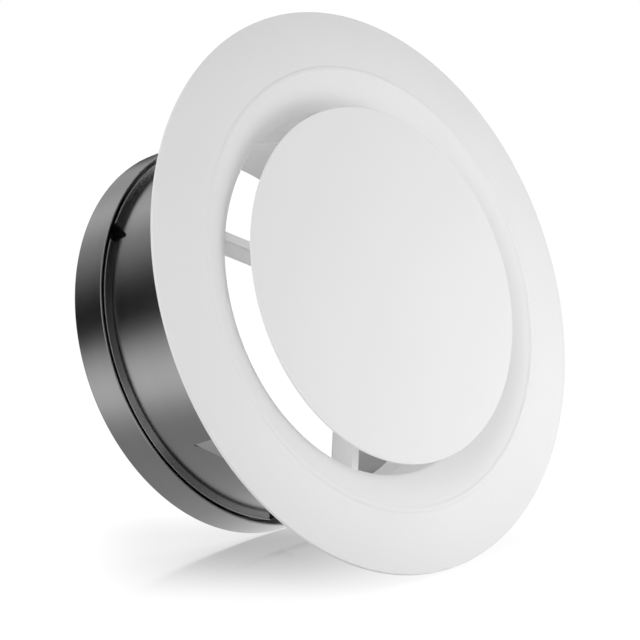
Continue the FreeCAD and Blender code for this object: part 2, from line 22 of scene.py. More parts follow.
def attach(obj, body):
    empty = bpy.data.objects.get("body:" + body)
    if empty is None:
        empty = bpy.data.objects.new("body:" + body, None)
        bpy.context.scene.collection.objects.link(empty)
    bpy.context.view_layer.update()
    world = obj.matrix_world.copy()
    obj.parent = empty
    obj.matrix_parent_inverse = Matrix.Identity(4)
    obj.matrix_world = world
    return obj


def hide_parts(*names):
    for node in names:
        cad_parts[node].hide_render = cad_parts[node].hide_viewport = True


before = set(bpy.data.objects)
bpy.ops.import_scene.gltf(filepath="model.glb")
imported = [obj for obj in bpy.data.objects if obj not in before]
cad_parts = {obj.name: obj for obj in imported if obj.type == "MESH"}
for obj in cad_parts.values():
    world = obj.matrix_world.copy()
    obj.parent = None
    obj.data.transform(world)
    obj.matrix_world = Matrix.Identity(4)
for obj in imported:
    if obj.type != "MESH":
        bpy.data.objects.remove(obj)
log = logging.getLogger("vent")

Array = np.ndarray
Colour = tuple[float, float, float]
Pair = tuple[float, float]
Place = tuple[float, float, float]
Source = bpy.types.Node | bpy.types.NodeSocket

MM = 0.001
TURN = 2.0 * math.pi
WHITE = (1.0, 1.0, 1.0, 1.0)
CURVE_STEP = math.radians(2.5)  # Turning between two points of a curved side
# The tone attribute multiplies a finish's colour; on the sleeve's flaps it is a painted
# sheen that makes them lighter.
PAINTED_SHEEN_TONE = "tone"  # The attribute that multiplies a finish's colour.
SMALL_SEGMENTS = 96  # Steps round the axis of the small turned pieces.


class Bulge(Enum):
    """To which side of its line a curved side of an outline bulges."""

    LEFT = 1
    RIGHT = -1


class Body(Enum):
    """The CAD bodies that pieces ride on."""

    COLLAR = "collar"
    VENT = "vent"
    STOP = "stop"
    DISC = "disc"
    LOCK_RING = "lock_ring"
    HAND_NUT = "hand_nut"


class Slot(Enum):
    """The record's material slots."""

    WHITE = "white_satin"
    DARK_METAL = "dark_metal"
    FOAM = "foam"
    RIVET = "rivet"
    ZINC = "zinc_steel"
    SPRING = "spring_steel"
    BRASS = "brass"
    NYLON = "white_nylon"


@dataclass(frozen=True)
class Corner:
    """A corner of an outline and the side that leaves it.

    x is the distance from the axis and z the height. soften is the radius that
    rounds the corner. curve is the radius of the side that leaves the corner,
    and 0 is a straight side.
    """

    x: float
    z: float
    soften: float = 0.0
    curve: float = 0.0
    bulge: Bulge = Bulge.RIGHT

    @property
    def place(self) -> Array:
        """The corner as a point of the outline's plane."""
        return np.array([self.x, self.z])


class Side:
    """One side of an outline, measured by the distance along it.

    A straight side is start + distance * direction. A curved side is centre +
    radius * (cos, sin) of an angle that grows with distance / radius.
    """

    def __init__(self, start: Corner, end: Corner) -> None:
        """Work out the side's length, and its centre where it is curved.

        Args:
            start: The corner that the side leaves.
            end: The corner that it reaches.
        """
        self.start = start.place
        chord = end.place - start.place
        span = float(np.hypot(*chord))
        self.radius = start.curve
        self.length = span
        self.direction = chord / span
        if self.radius:
            half = math.asin(min(1.0, span / (2.0 * self.radius)))
            left = np.array([-chord[1], chord[0]]) / span * start.bulge.value
            middle = (start.place + end.place) / 2.0
            self.centre = middle - left * self.radius * math.cos(half)
            self.first = math.atan2(*(self.start - self.centre)[::-1])
            self.spin = -start.bulge.value / self.radius
            self.length = 2.0 * half * self.radius

    def at(self, distance: Array) -> Array:
        """Points at distances along the side.

        Args:
            distance: Distances from the side's start, one per point.

        Returns:
            The points, one row each.
        """
        distance = np.atleast_1d(np.asarray(distance, float))
        if not self.radius:
            return self.start + distance[:, None] * self.direction
        angle = self.first + self.spin * distance
        return self.centre + self.radius * np.stack([np.cos(angle), np.sin(angle)], 1)

    def heading(self, distance: float) -> Array:
        """The side's direction at a distance along it, as a unit vector."""
        if not self.radius:
            return self.direction
        angle = self.first + self.spin * distance
        sign = math.copysign(1.0, self.spin)
        return sign * np.array([-math.sin(angle), math.cos(angle)])

    def samples(self, low: float, high: float, hold: float, least: int) -> Array:
        """Distances at which a side gets points between two cuts.

        Points stand close inside both cuts, so that smooth shading holds the side's
        own direction. A curved side gets a point for each step of turning, and at
        least so many steps.
        """
        hold = min(hold, 0.3 * (high - low))
        inner = np.array([low, low + hold, high - hold, high])
        if not self.radius:
            return inner
        turning = (high - low - 2.0 * hold) / self.radius
        count = max(least, math.ceil(turning / CURVE_STEP))
        curve = np.linspace(low + hold, high - hold, count + 1)[1:-1]
        return np.concatenate([inner[:2], curve, inner[2:]])


def outline(rows: Sequence[tuple], closed: bool = True, hold: float = 0.12,
            least: int = 2, facets: int = 5) -> Array:
    """Points round an outline whose corners are softened.

    A corner is cut back along both sides by soften * tan(turn / 2) and bridged by
    the rational quadratic curve with the corner as its middle point and the cosine
    of half the turn as its weight, which is an arc between straight sides.

    Args:
        rows: The corners in order, anticlockwise round the solid, each as x, z and,
            where it has them, soften, curve and bulge.
        closed: Whether the last corner joins the first.
        hold: How close to a cut its support point stands.
        least: Least number of steps along a curved side.
        facets: Steps in a softened corner.

    Returns:
        The points as rows of x and z.
    """
    corners = [Corner(*row) for row in rows]
    count = len(corners)
    links = count if closed else count - 1
    sides = [Side(corners[i], corners[(i + 1) % count]) for i in range(links)]
    cuts = np.zeros(count)
    weights = np.ones(count)
    for i, corner in enumerate(corners):
        if corner.soften and (closed or 0 < i < count - 1):
            before, after = sides[i - 1], sides[i % links]
            cosine = float(before.heading(before.length) @ after.heading(0.0))
            turn = math.acos(max(-1.0, min(1.0, cosine)))
            room = 0.45 * min(before.length, after.length)
            cuts[i] = min(corner.soften * math.tan(turn / 2.0), room)
            weights[i] = math.cos(turn / 2.0)
    lines = []
    for i, corner in enumerate(corners):
        if cuts[i] > 0.0:
            before, after = sides[i - 1], sides[i]
            start = before.at(before.length - cuts[i])[0]
            end = after.at(cuts[i])[0]
            t = np.linspace(0.0, 1.0, facets + 1)[1:-1, None]
            blend = [(1 - t) ** 2, 2.0 * weights[i] * t * (1 - t), t ** 2]
            bridge = blend[0] * start + blend[1] * corner.place + blend[2] * end
            lines.append(bridge / (blend[0] + blend[1] + blend[2]))
        if i < links:
            low, high = cuts[i], sides[i].length - cuts[(i + 1) % count]
            line = sides[i].at(sides[i].samples(low, high, hold, least))
            last_of_open = not closed and i == links - 1
            meets = cuts[(i + 1) % count] > 0.0 or last_of_open
            lines.append(line if meets else line[:-1])
    return np.concatenate(lines)


def grid_faces(rows: int, columns: int, ring_rows: bool, ring_columns: bool) -> Array:
    """Quads of a grid of points, whose sides may close on themselves.

    Args:
        rows: Number of rows of points.
        columns: Number of points in a row.
        ring_rows: Whether the last row joins the first.
        ring_columns: Whether the last column joins the first.

    Returns:
        The quads, one row of four point numbers each.
    """
    row, column = np.meshgrid(np.arange(rows if ring_rows else rows - 1),
                              np.arange(columns if ring_columns else columns - 1),
                              indexing="ij")
    next_row, next_column = (row + 1) % rows, (column + 1) % columns
    quads = [row * columns + column, row * columns + next_column,
             next_row * columns + next_column, next_row * columns + column]
    return np.stack(quads, axis=-1).reshape(-1, 4)


@dataclass
class Form:
    """One closed surface in millimetres, and its tone: a factor on its finish's colour,
    which above 1 paints a lighter sheen.
    """

    points: Array
    faces: list[list[int]]
    tone: float = 1.0

    def spun(self, angle: float) -> "Form":
        """The same surface turned about the axis by an angle in degrees."""
        c, s = math.cos(math.radians(angle)), math.sin(math.radians(angle))
        matrix = np.array([[c, -s, 0.0], [s, c, 0.0], [0.0, 0.0, 1.0]])
        return Form(self.points @ matrix.T, self.faces, self.tone)

    def around(self, count: int, first: float = 0.0) -> "list[Form]":
        """Copies spread evenly round the axis, the first turned by first degrees."""
        return [self.spun(first + 360.0 / count * i) for i in range(count)]

    def laid(self, height: float) -> "Form":
        """The same surface, turned about Z, laid with its axis along X at a height."""
        x, y, z = self.points.T
        return Form(np.stack([z, x, y + height], axis=1), self.faces, self.tone)


def turned(line: Array, segments: int, closed: bool = True,
           reach: Callable[[Array, Array, Array], Array] | None = None) -> Form:
    """A surface of revolution: (x cos a, x sin a, z) over the outline and the angle a.

    Args:
        line: The outline's points, anticlockwise.
        segments: Steps round the axis.
        closed: Whether the outline closes on itself. If not, its ends lie on the axis.
        reach: Gives the distance from the axis from x, z and the angle, where the
            piece isn't round.

    Returns:
        The surface.
    """
    angle = np.linspace(0.0, TURN, segments, endpoint=False)[None, :]
    x = np.repeat(line[:, :1], segments, axis=1)
    z = np.repeat(line[:, 1:], segments, axis=1)
    if reach is not None:
        x = reach(x, z, np.repeat(angle, len(line), axis=0))
    points = np.stack([x * np.cos(angle), x * np.sin(angle), z], axis=-1)
    quads = grid_faces(len(line), segments, closed, True)
    return Form(points.reshape(-1, 3), quads.tolist())


def lathed(rows: Sequence[tuple], segments: int, closed: bool = True,
           **shaping) -> Form:
    """A surface of revolution over an outline, given as outline and turned take it."""
    return turned(outline(rows, closed, **shaping), segments, closed)


def swept(line: Array, start: float, end: float, steps: int) -> Form:
    """An outline carried round the axis from one angle to another, closed at both.

    Args:
        line: The outline's points, anticlockwise.
        start: The angle where it begins, in radians.
        end: The angle where it ends.
        steps: Steps between both.

    Returns:
        The surface.
    """
    angle = np.linspace(start, end, steps + 1)[None, :]
    x, z = line[:, :1], np.repeat(line[:, 1:], steps + 1, axis=1)
    points = np.stack([x * np.cos(angle), x * np.sin(angle), z], axis=-1)
    quads = grid_faces(len(line), steps + 1, True, False).tolist()
    number = np.arange(points.shape[0] * points.shape[1]).reshape(points.shape[:2])
    caps = [number[::-1, -1].tolist(), number[:, 0].tolist()]
    return Form(points.reshape(-1, 3), quads + caps)


def plate(line: Array, thickness: float, edge: float, facets: int = 4) -> Form:
    """A flat plate cut to an outline, with rounded edges.

    The outline lies in X and Z. It is carried through the thickness along Y and
    drawn in by edge * (1 - cos) near both faces, along its own normals.

    Args:
        line: The outline's points, anticlockwise.
        thickness: The plate's thickness.
        edge: Radius of its edges.
        facets: Steps in a rounded edge.

    Returns:
        The plate, half of it on either side of the XZ plane.
    """
    ahead = np.roll(line, -1, axis=0) - np.roll(line, 1, axis=0)
    ahead /= np.linalg.norm(ahead, axis=1, keepdims=True)
    inward = np.stack([-ahead[:, 1], ahead[:, 0]], axis=1)
    turn = np.linspace(0.0, math.pi / 2.0, facets + 1)
    half = thickness / 2.0
    hold = min(0.15, 0.3 * (thickness - 2.0 * edge))
    first_y = np.concatenate([-half + edge * (1.0 - np.cos(turn)),
                              [-half + edge + hold]])
    first_in = np.concatenate([edge * (1.0 - np.sin(turn)), [0.0]])
    across = np.concatenate([first_y, -first_y[::-1]])
    drawn = np.concatenate([first_in, first_in[::-1]])
    flat = line[None] + inward[None] * drawn[:, None, None]
    y = np.repeat(across[:, None], len(line), axis=1)
    points = np.stack([flat[..., 0], y, flat[..., 1]], axis=-1)
    quads = grid_faces(len(across), len(line), False, True)[:, ::-1].tolist()
    count = len(line)
    start = list(range(count))
    end = list(range(count * (len(across) - 1), count * len(across)))
    return Form(points.reshape(-1, 3), quads + [start, end[::-1]])


def thick_sheet(middle: Array, normal: Array, thickness: float,
                tone: float = 1.0) -> Form:
    """A sheet of even thickness on a grid of points, closed round its rim.

    Each point gives one on either side, half the thickness along the normal.

    Args:
        middle: Grid of points of the middle surface, rows by columns by 3.
        normal: Unit normals of the same grid.
        thickness: The sheet's thickness.
        tone: A factor on its finish's colour; above 1 it paints a lighter sheen.

    Returns:
        The sheet.
    """
    rows, columns = middle.shape[:2]
    count = rows * columns
    front = (middle + normal * thickness / 2.0).reshape(-1, 3)
    back = (middle - normal * thickness / 2.0).reshape(-1, 3)
    quads = grid_faces(rows, columns, False, False)[:, ::-1]
    number = np.arange(count).reshape(rows, columns)
    rim = np.concatenate([number[0, :-1], number[:-1, -1], number[-1, :0:-1],
                          number[:0:-1, 0]])
    after = np.roll(rim, -1)
    walls = np.stack([after, after + count, rim + count, rim], axis=1)
    faces = np.concatenate([quads, quads[:, ::-1] + count, walls])
    return Form(np.concatenate([front, back]), faces.tolist(), tone)


def flat_ring(inner: float, outer: float, low: float, high: float, soften: float,
              segments: int = SMALL_SEGMENTS, facets: int = 4) -> Form:
    """A flat ring with softened edges.

    Args:
        inner: Radius of its hole.
        outer: Its outer radius.
        low: Height of its rear face.
        high: Height of its front face.
        soften: Radius of its edges.
        segments: Steps round the axis.
        facets: Steps in a softened edge.

    Returns:
        The ring.
    """
    return lathed([
        (inner, low, soften),
        (outer, low, soften),
        (outer, high, soften),
        (inner, high, soften),
    ], segments, facets=facets)


def placed(name: str, data: bpy.types.ID,
           matrix: Matrix | None = None) -> bpy.types.Object:
    """A new object in the scene, at the origin unless a matrix is given."""
    made = bpy.data.objects.new(name, data)
    if matrix is not None:
        made.matrix_world = matrix
    bpy.context.scene.collection.objects.link(made)
    return made


class Board:
    """A node tree on which each node is added, set up and wired in one call."""

    def __init__(self, tree: bpy.types.NodeTree, empty: bool = False) -> None:
        """Take over a tree, and clear it if it has to be empty."""
        self.tree = tree
        if empty:
            tree.nodes.clear()

    @classmethod
    def paint(cls, name: str, empty: bool = True) -> "tuple[bpy.types.Material, Board]":
        """A new material and the board of its tree."""
        made = bpy.data.materials.new(name)
        made.use_nodes = True
        return made, cls(made.node_tree, empty)

    def wire(self, node: bpy.types.Node, inputs: dict) -> bpy.types.Node:
        """Give a node's sockets their values.

        Args:
            node: The node.
            inputs: For each socket a value, the output that feeds it, or a node
                whose first output feeds it.

        Returns:
            The same node.
        """
        for key, value in inputs.items():
            if isinstance(value, bpy.types.Node):
                value = value.outputs[0]
            if isinstance(value, bpy.types.NodeSocket):
                self.tree.links.new(value, node.inputs[key])
            else:
                node.inputs[key].default_value = value
        return node

    def add(self, kind: str, inputs: dict | None = None, **settings) -> bpy.types.Node:
        """Add a node of a kind with its settings, and wire its inputs."""
        node = self.tree.nodes.new("ShaderNode" + kind)
        for key, value in settings.items():
            setattr(node, key, value)
        return self.wire(node, inputs or {})

    def place(self, kind: str = "Object") -> bpy.types.NodeSocket:
        """The shaded point's coordinates."""
        return self.add("TexCoord").outputs[kind]

    def mapped(self, value: Source, span: Pair = (0.0, 1.0),
               levels: Pair = (0.0, 1.0), **settings) -> bpy.types.Node:
        """A value carried from a span to the levels at its ends."""
        return self.add("MapRange", {"Value": value, "From Min": span[0],
                                     "From Max": span[1], "To Min": levels[0],
                                     "To Max": levels[1]}, **settings)

    def joined(self, operation: str, values: Sequence[Source]) -> Source:
        """Several values joined by one operation, such as their product."""
        return reduce(lambda first, second: self.add(
            "Math", {0: first, 1: second}, operation=operation), values)

    def mixed(self, share: Source, first: Source, second: Source) -> bpy.types.Node:
        """The second shader over the first by a share."""
        return self.add("MixShader", {"Fac": share, 1: first, 2: second})

    def ramp(self, value: Source, tones: Sequence[Pair]) -> bpy.types.Node:
        """A colour ramp through grey tones, each given by its place and level."""
        ramp = self.add("ValToRGB", {"Fac": value})
        stops = ramp.color_ramp.elements
        while len(stops) < len(tones):
            stops.new(1.0)
        for stop, (place, level) in zip(stops, tones):
            stop.position = place
            stop.color = (level, level, level, 1.0)
        return ramp


class Effects:
    """Shader node groups that several finishes share."""

    def __init__(self) -> None:
        """Build each group once."""
        self.grain = self._group("MouldedGrain", "Scale", 900.0, self._grain)
        self.drawn = self._group("DrawnLines", "Density", 900.0, self._drawn_lines)
        self.cloud = self._group("SlowPatches", "Scale", 25.0, self._cloud)

    @staticmethod
    def _group(name: str, given: str, value: float,
               wire: Callable[[Board, Source], dict[str, Source]]
               ) -> bpy.types.NodeTree:
        """A group with one number input, and the number outputs that a function wires.

        Args:
            name: The group's name.
            given: The input's name.
            value: The input's default.
            wire: Gives each output by its name, from the board and the input.

        Returns:
            The group.
        """
        tree = bpy.data.node_groups.new(name, "ShaderNodeTree")
        tree.interface.new_socket(given, in_out="INPUT",
                                  socket_type="NodeSocketFloat").default_value = value
        found = wire(Board(tree), tree.nodes.new("NodeGroupInput").outputs[given])
        for label in found:
            tree.interface.new_socket(label, in_out="OUTPUT",
                                      socket_type="NodeSocketFloat")
        Board(tree).wire(tree.nodes.new("NodeGroupOutput"), found)
        return tree

    @staticmethod
    def _grain(board: Board, scale: Source) -> dict[str, Source]:
        """Fine moulded grain: an even noise of a given scale as a height."""
        return {"Height": board.add("TexNoise", {
            "Vector": board.place(), "Scale": scale, "Detail": 2.0, "Roughness": 0.45})}

    @staticmethod
    def _drawn_lines(board: Board, density: Source) -> dict[str, Source]:
        """Rolling lines round the axis: a noise squeezed along Z."""
        squeezed = board.add("VectorMath", {0: board.place(), 1: (0.03, 0.03, 1.0)},
                             operation="MULTIPLY")
        return {label: board.add("TexNoise", {"Vector": squeezed, "Scale": scale,
                                              "Detail": detail})
                for label, scale, detail in (("Height", density, 3.0),
                                             ("Streak", 160.0, 2.0))}

    @staticmethod
    def _cloud(board: Board, scale: Source) -> dict[str, Source]:
        """Slow uneven patches as a mask from 0 to 1, for handling and sheen."""
        noise = board.add("TexNoise", {"Vector": board.place(), "Scale": scale,
                                       "Detail": 4.0})
        return {"Mask": board.mapped(noise, (0.32, 0.68))}


@dataclass(frozen=True)
class Finish:
    """A finish: its colours, its gloss and the scale of what shows on it."""

    name: str
    colour: Colour
    shade: Colour
    roughness: float
    roughness_swing: float = 0.05
    metallic: float = 0.0
    grain_scale: float = 1400.0
    grain_depth: float = 0.02
    patch_scale: float = 22.0
    lines: bool = False

    def material(self, effects: Effects) -> bpy.types.Material:
        """The finish as a Principled material.

        The colour runs between colour and shade by slow patches, or by the drawn
        lines' streaks on metal, and is multiplied by the piece's tone, which paints a
        lighter sheen on the sleeve's flaps. The roughness swings with the patches, and
        the grain or lines feed a bump.
        """
        made, board = Board.paint(self.name, empty=False)
        patches = board.add("Group", {"Scale": self.patch_scale},
                            node_tree=effects.cloud)
        if self.lines:
            relief = board.add("Group", {"Density": self.grain_scale},
                               node_tree=effects.drawn)
        else:
            relief = board.add("Group", {"Scale": self.grain_scale},
                               node_tree=effects.grain)
        mix = board.add("Mix", {
            "Factor": relief.outputs["Streak"] if self.lines else patches,
            "A": (*self.colour, 1.0), "B": (*self.shade, 1.0)}, data_type="RGBA")
        tone = board.add("Attribute", attribute_name=PAINTED_SHEEN_TONE)
        toned = board.add("VectorMath", {0: mix.outputs["Result"],
                                         "Scale": tone.outputs["Fac"]},
                          operation="SCALE")
        swing = self.roughness_swing
        gloss = board.mapped(patches, levels=(self.roughness - swing,
                                              self.roughness + swing))
        bump = board.add("Bump", {"Height": relief.outputs["Height"], "Strength": 1.0,
                                  "Distance": self.grain_depth * MM})
        board.wire(made.node_tree.nodes["Principled BSDF"], {
            "Base Color": toned, "Metallic": self.metallic, "Roughness": gloss,
            "Normal": bump})
        return made


FINISHES = {
    Slot.WHITE: Finish("white_satin_enamel", (0.9, 0.9, 0.9), (0.89, 0.89, 0.892),
                       roughness=0.42, roughness_swing=0.04, grain_scale=1100.0,
                       grain_depth=0.012),
    Slot.DARK_METAL: Finish("dark_satin_steel", (0.43, 0.43, 0.434),
                            (0.39, 0.39, 0.394), roughness=0.21,
                            roughness_swing=0.02, metallic=1.0, grain_scale=1500.0,
                            grain_depth=0.004, lines=True),
    Slot.FOAM: Finish("closed_cell_foam", (0.72, 0.72, 0.71), (0.62, 0.62, 0.61),
                      roughness=0.9, grain_scale=2600.0, grain_depth=0.35,
                      patch_scale=300.0),
    Slot.RIVET: Finish("plain_aluminium", (0.62, 0.62, 0.63), (0.5, 0.5, 0.51),
                       roughness=0.38, metallic=1.0, grain_scale=1800.0,
                       grain_depth=0.01, patch_scale=200.0),
    Slot.ZINC: Finish("zinc_plated_steel", (0.6, 0.61, 0.62), (0.47, 0.48, 0.5),
                      roughness=0.34, metallic=1.0, grain_scale=1200.0,
                      grain_depth=0.01, patch_scale=160.0),
    Slot.SPRING: Finish("blackened_spring_steel", (0.1, 0.1, 0.105),
                        (0.07, 0.07, 0.075), roughness=0.4, metallic=1.0,
                        grain_scale=1200.0, grain_depth=0.01, patch_scale=200.0),
    Slot.BRASS: Finish("turned_brass", (0.72, 0.56, 0.28), (0.6, 0.45, 0.21),
                       roughness=0.3, metallic=1.0, grain_scale=2500.0,
                       grain_depth=0.006, lines=True),
    Slot.NYLON: Finish("natural_nylon", (0.76, 0.76, 0.73), (0.7, 0.7, 0.67),
                       roughness=0.5, grain_scale=1300.0, grain_depth=0.03),
}


class Workshop:
    """Turns forms into dressed pieces and keeps the finishes."""

    def __init__(self) -> None:
        """Build the shared effects and one material for each slot."""
        effects = Effects()
        self.materials = {slot: finish.material(effects)
                          for slot, finish in FINISHES.items()}

    def piece(self, name: str, forms: Sequence[Form], body: Body, slot: Slot,
              node: str) -> bpy.types.Object:
        """Join forms into one piece that stands for a CAD node.

        Args:
            name: The piece's name.
            forms: Its closed surfaces, in millimetres.
            body: The CAD body that it rides on.
            slot: The material slot that it takes its finish from.
            node: The CAD node that it replaces, keeping its form.

        Returns:
            The piece.
        """
        starts = np.cumsum([0] + [len(form.points) for form in forms[:-1]])
        points = np.concatenate([form.points for form in forms]) * MM
        faces = [[start + i for i in face]
                 for start, form in zip(starts.tolist(), forms) for face in form.faces]
        mesh = bpy.data.meshes.new(name)
        mesh.from_pydata(points.tolist(), [], faces)
        # Each point's tone multiplies its finish's colour; on the flaps it paints a
        # sheen.
        tones = np.concatenate([np.full(len(form.points), form.tone)
                                for form in forms])
        layer = mesh.attributes.new(PAINTED_SHEEN_TONE, "FLOAT", "POINT")
        layer.data.foreach_set("value", tones.astype(np.float32))
        self._close(mesh)
        mesh.materials.append(self.materials[slot])
        made = placed(name, mesh)
        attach(made, body.value)
        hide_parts(node)
        log.info("%s: %d points, %d faces", name, len(mesh.vertices),
                 len(mesh.polygons))
        return made

    @staticmethod
    def _close(mesh: bpy.types.Mesh) -> None:
        """Merge the points at poles, drop empty faces and shade smooth."""
        shape = bmesh.new()
        shape.from_mesh(mesh)
        bmesh.ops.remove_doubles(shape, verts=shape.verts, dist=1e-7)
        bmesh.ops.dissolve_degenerate(shape, dist=1e-8, edges=shape.edges)
        for face in shape.faces:
            face.smooth = True
        shape.to_mesh(mesh)
        shape.free()
        mesh.update()


@dataclass
class FaceMoulding:
    """The white moulding: domed flange, crest, throat, tube, arms and hub."""

    seat: float = 75.5
    rim_radius: float = 105.1
    rim_edge: float = 1.3
    rim_foot: float = 4.5
    foot_rise: float = 1.1
    rim_soften: float = 0.5
    face_curve: float = 80.0
    crest_radius: float = 82.3
    crest_rise: float = 5.4
    bead_half: float = 1.2
    bead_curve: float = 2.0
    crease: float = 0.35
    wall: float = 1.8
    throat_radius: float = 67.45
    throat_drop: float = 3.2
    throat_curve: float = 30.0
    throat_turn: float = 3.0
    throat_lean: float = math.radians(40.0)
    tube_wall: float = 1.6
    tube_straight: float = 26.5
    tube_length: float = 34.9
    tube_taper: float = 2.3
    arm_count: int = 4
    arm_angle: float = 59.8
    arm_width: float = 3.5
    arm_drop: float = 0.6
    arm_depth: float = 11.0
    arm_edge: float = 0.5
    hub_radius: float = 14.0
    hub_wall: float = 2.8
    cup_depth: float = 8.0
    cup_floor: float = 2.4
    bush_radius: float = 7.5
    barrel_wall: float = 3.0
    barrel_end: float = 59.1
    rib_count: int = 12
    rib_width: float = 1.4
    rib_edge: float = 0.25
    rib_back: float = 0.8
    rib_reach: float = 5.5
    channel_radius: float = 93.1
    channel_wall: float = 1.5
    hub_segments: int = 128
    segments: int = 320

    def shell(self) -> Form:
        """The flange, crest, throat and tube as one turned outline."""
        seat, top = self.seat, self.seat + self.crest_rise
        lean = self.throat_lean
        low = seat - self.throat_drop
        bend_x = self.throat_radius + self.throat_turn * (1.0 - math.sin(lean))
        bend_z = low + self.throat_turn * math.cos(lean)
        under_x = bend_x + self.wall * math.sin(lean)
        under_z = bend_z - self.wall * math.cos(lean)
        outside = self.throat_radius + self.tube_wall
        straight_end = seat - self.tube_straight
        end = seat - self.tube_length
        foot = self.rim_radius - self.rim_foot
        return lathed([
            (self.rim_radius, seat, 0.4),
            (self.rim_radius, seat + self.rim_edge, self.rim_soften, self.face_curve),
            (self.crest_radius + self.bead_half, top, 0.3, self.bead_curve),
            (self.crest_radius - self.bead_half, top, self.crease, self.throat_curve),
            (bend_x, bend_z, 0.0, self.throat_turn),
            (self.throat_radius, low),
            (self.throat_radius, straight_end, 3.0),
            (self.throat_radius - self.tube_taper, end, 0.5),
            (outside - self.tube_taper, end, 0.5),
            (outside, straight_end, 3.0),
            (outside, under_z - self.wall / 2.0, 0.5),
            (under_x, under_z, 0.5),
            (self.crest_radius, top - self.wall, 0.5, self.face_curve - self.wall,
             Bulge.LEFT),
            (foot, seat + self.foot_rise, 0.3),
            (foot, seat, 0.3),
        ], self.segments)

    def arms(self) -> list[Form]:
        """The flat arms that carry the hub, softened on all edges."""
        front = self.seat - self.arm_drop
        back = front - self.arm_depth
        root = self.hub_radius - self.hub_wall / 2.0
        tip = self.throat_radius + self.tube_wall * 0.75
        line = outline([
            (root, back, 0.3),
            (tip, back, 0.3),
            (tip, front, 0.3),
            (root, front, 0.3),
        ], hold=0.6)
        arm = plate(line, self.arm_width, self.arm_edge)
        return arm.around(self.arm_count, self.arm_angle)

    def hub(self) -> Form:
        """The hub's cup and the barrel round the bush."""
        front = self.seat - self.arm_drop
        floor = front - self.cup_depth
        barrel = self.bush_radius + self.barrel_wall
        inner = self.hub_radius - self.hub_wall
        return lathed([
            (self.bush_radius, self.barrel_end, 0.2),
            (barrel, self.barrel_end, 0.4),
            (barrel, floor - self.cup_floor, 1.0),
            (self.hub_radius, floor - self.cup_floor, 0.6),
            (self.hub_radius, front, 0.5),
            (inner, front, 0.5),
            (inner, floor, 0.8),
            (self.bush_radius, floor, 0.2),
        ], self.hub_segments)

    def back(self) -> list[Form]:
        """The gasket channel's inner wall and the ribs behind the flange."""
        seat, top = self.seat, self.seat + self.crest_rise
        inside = seat + (self.rim_edge + self.crest_rise) / 2.0
        inner = self.channel_radius - self.channel_wall
        wall = lathed([
            (inner, seat, 0.3),
            (self.channel_radius, seat, 0.3),
            (self.channel_radius, inside),
            (inner, inside),
        ], self.segments)
        outer = inner + self.channel_wall / 2.0
        line = outline([
            (self.crest_radius - self.rib_reach, seat + self.rib_back, 0.3),
            (outer, seat + self.rib_back, 0.3),
            (outer, inside),
            (self.crest_radius, top - self.wall / 2.0),
        ], hold=0.5)
        rib = plate(line, self.rib_width, self.rib_edge)
        return [wall, *rib.around(self.rib_count)]

    def dress(self, shop: Workshop) -> None:
        """Build the moulding as one piece on the vent's body."""
        forms = [self.shell(), *self.arms(), self.hub(), *self.back()]
        shop.piece("face_moulding", forms, Body.VENT, Slot.WHITE, "face_ring")


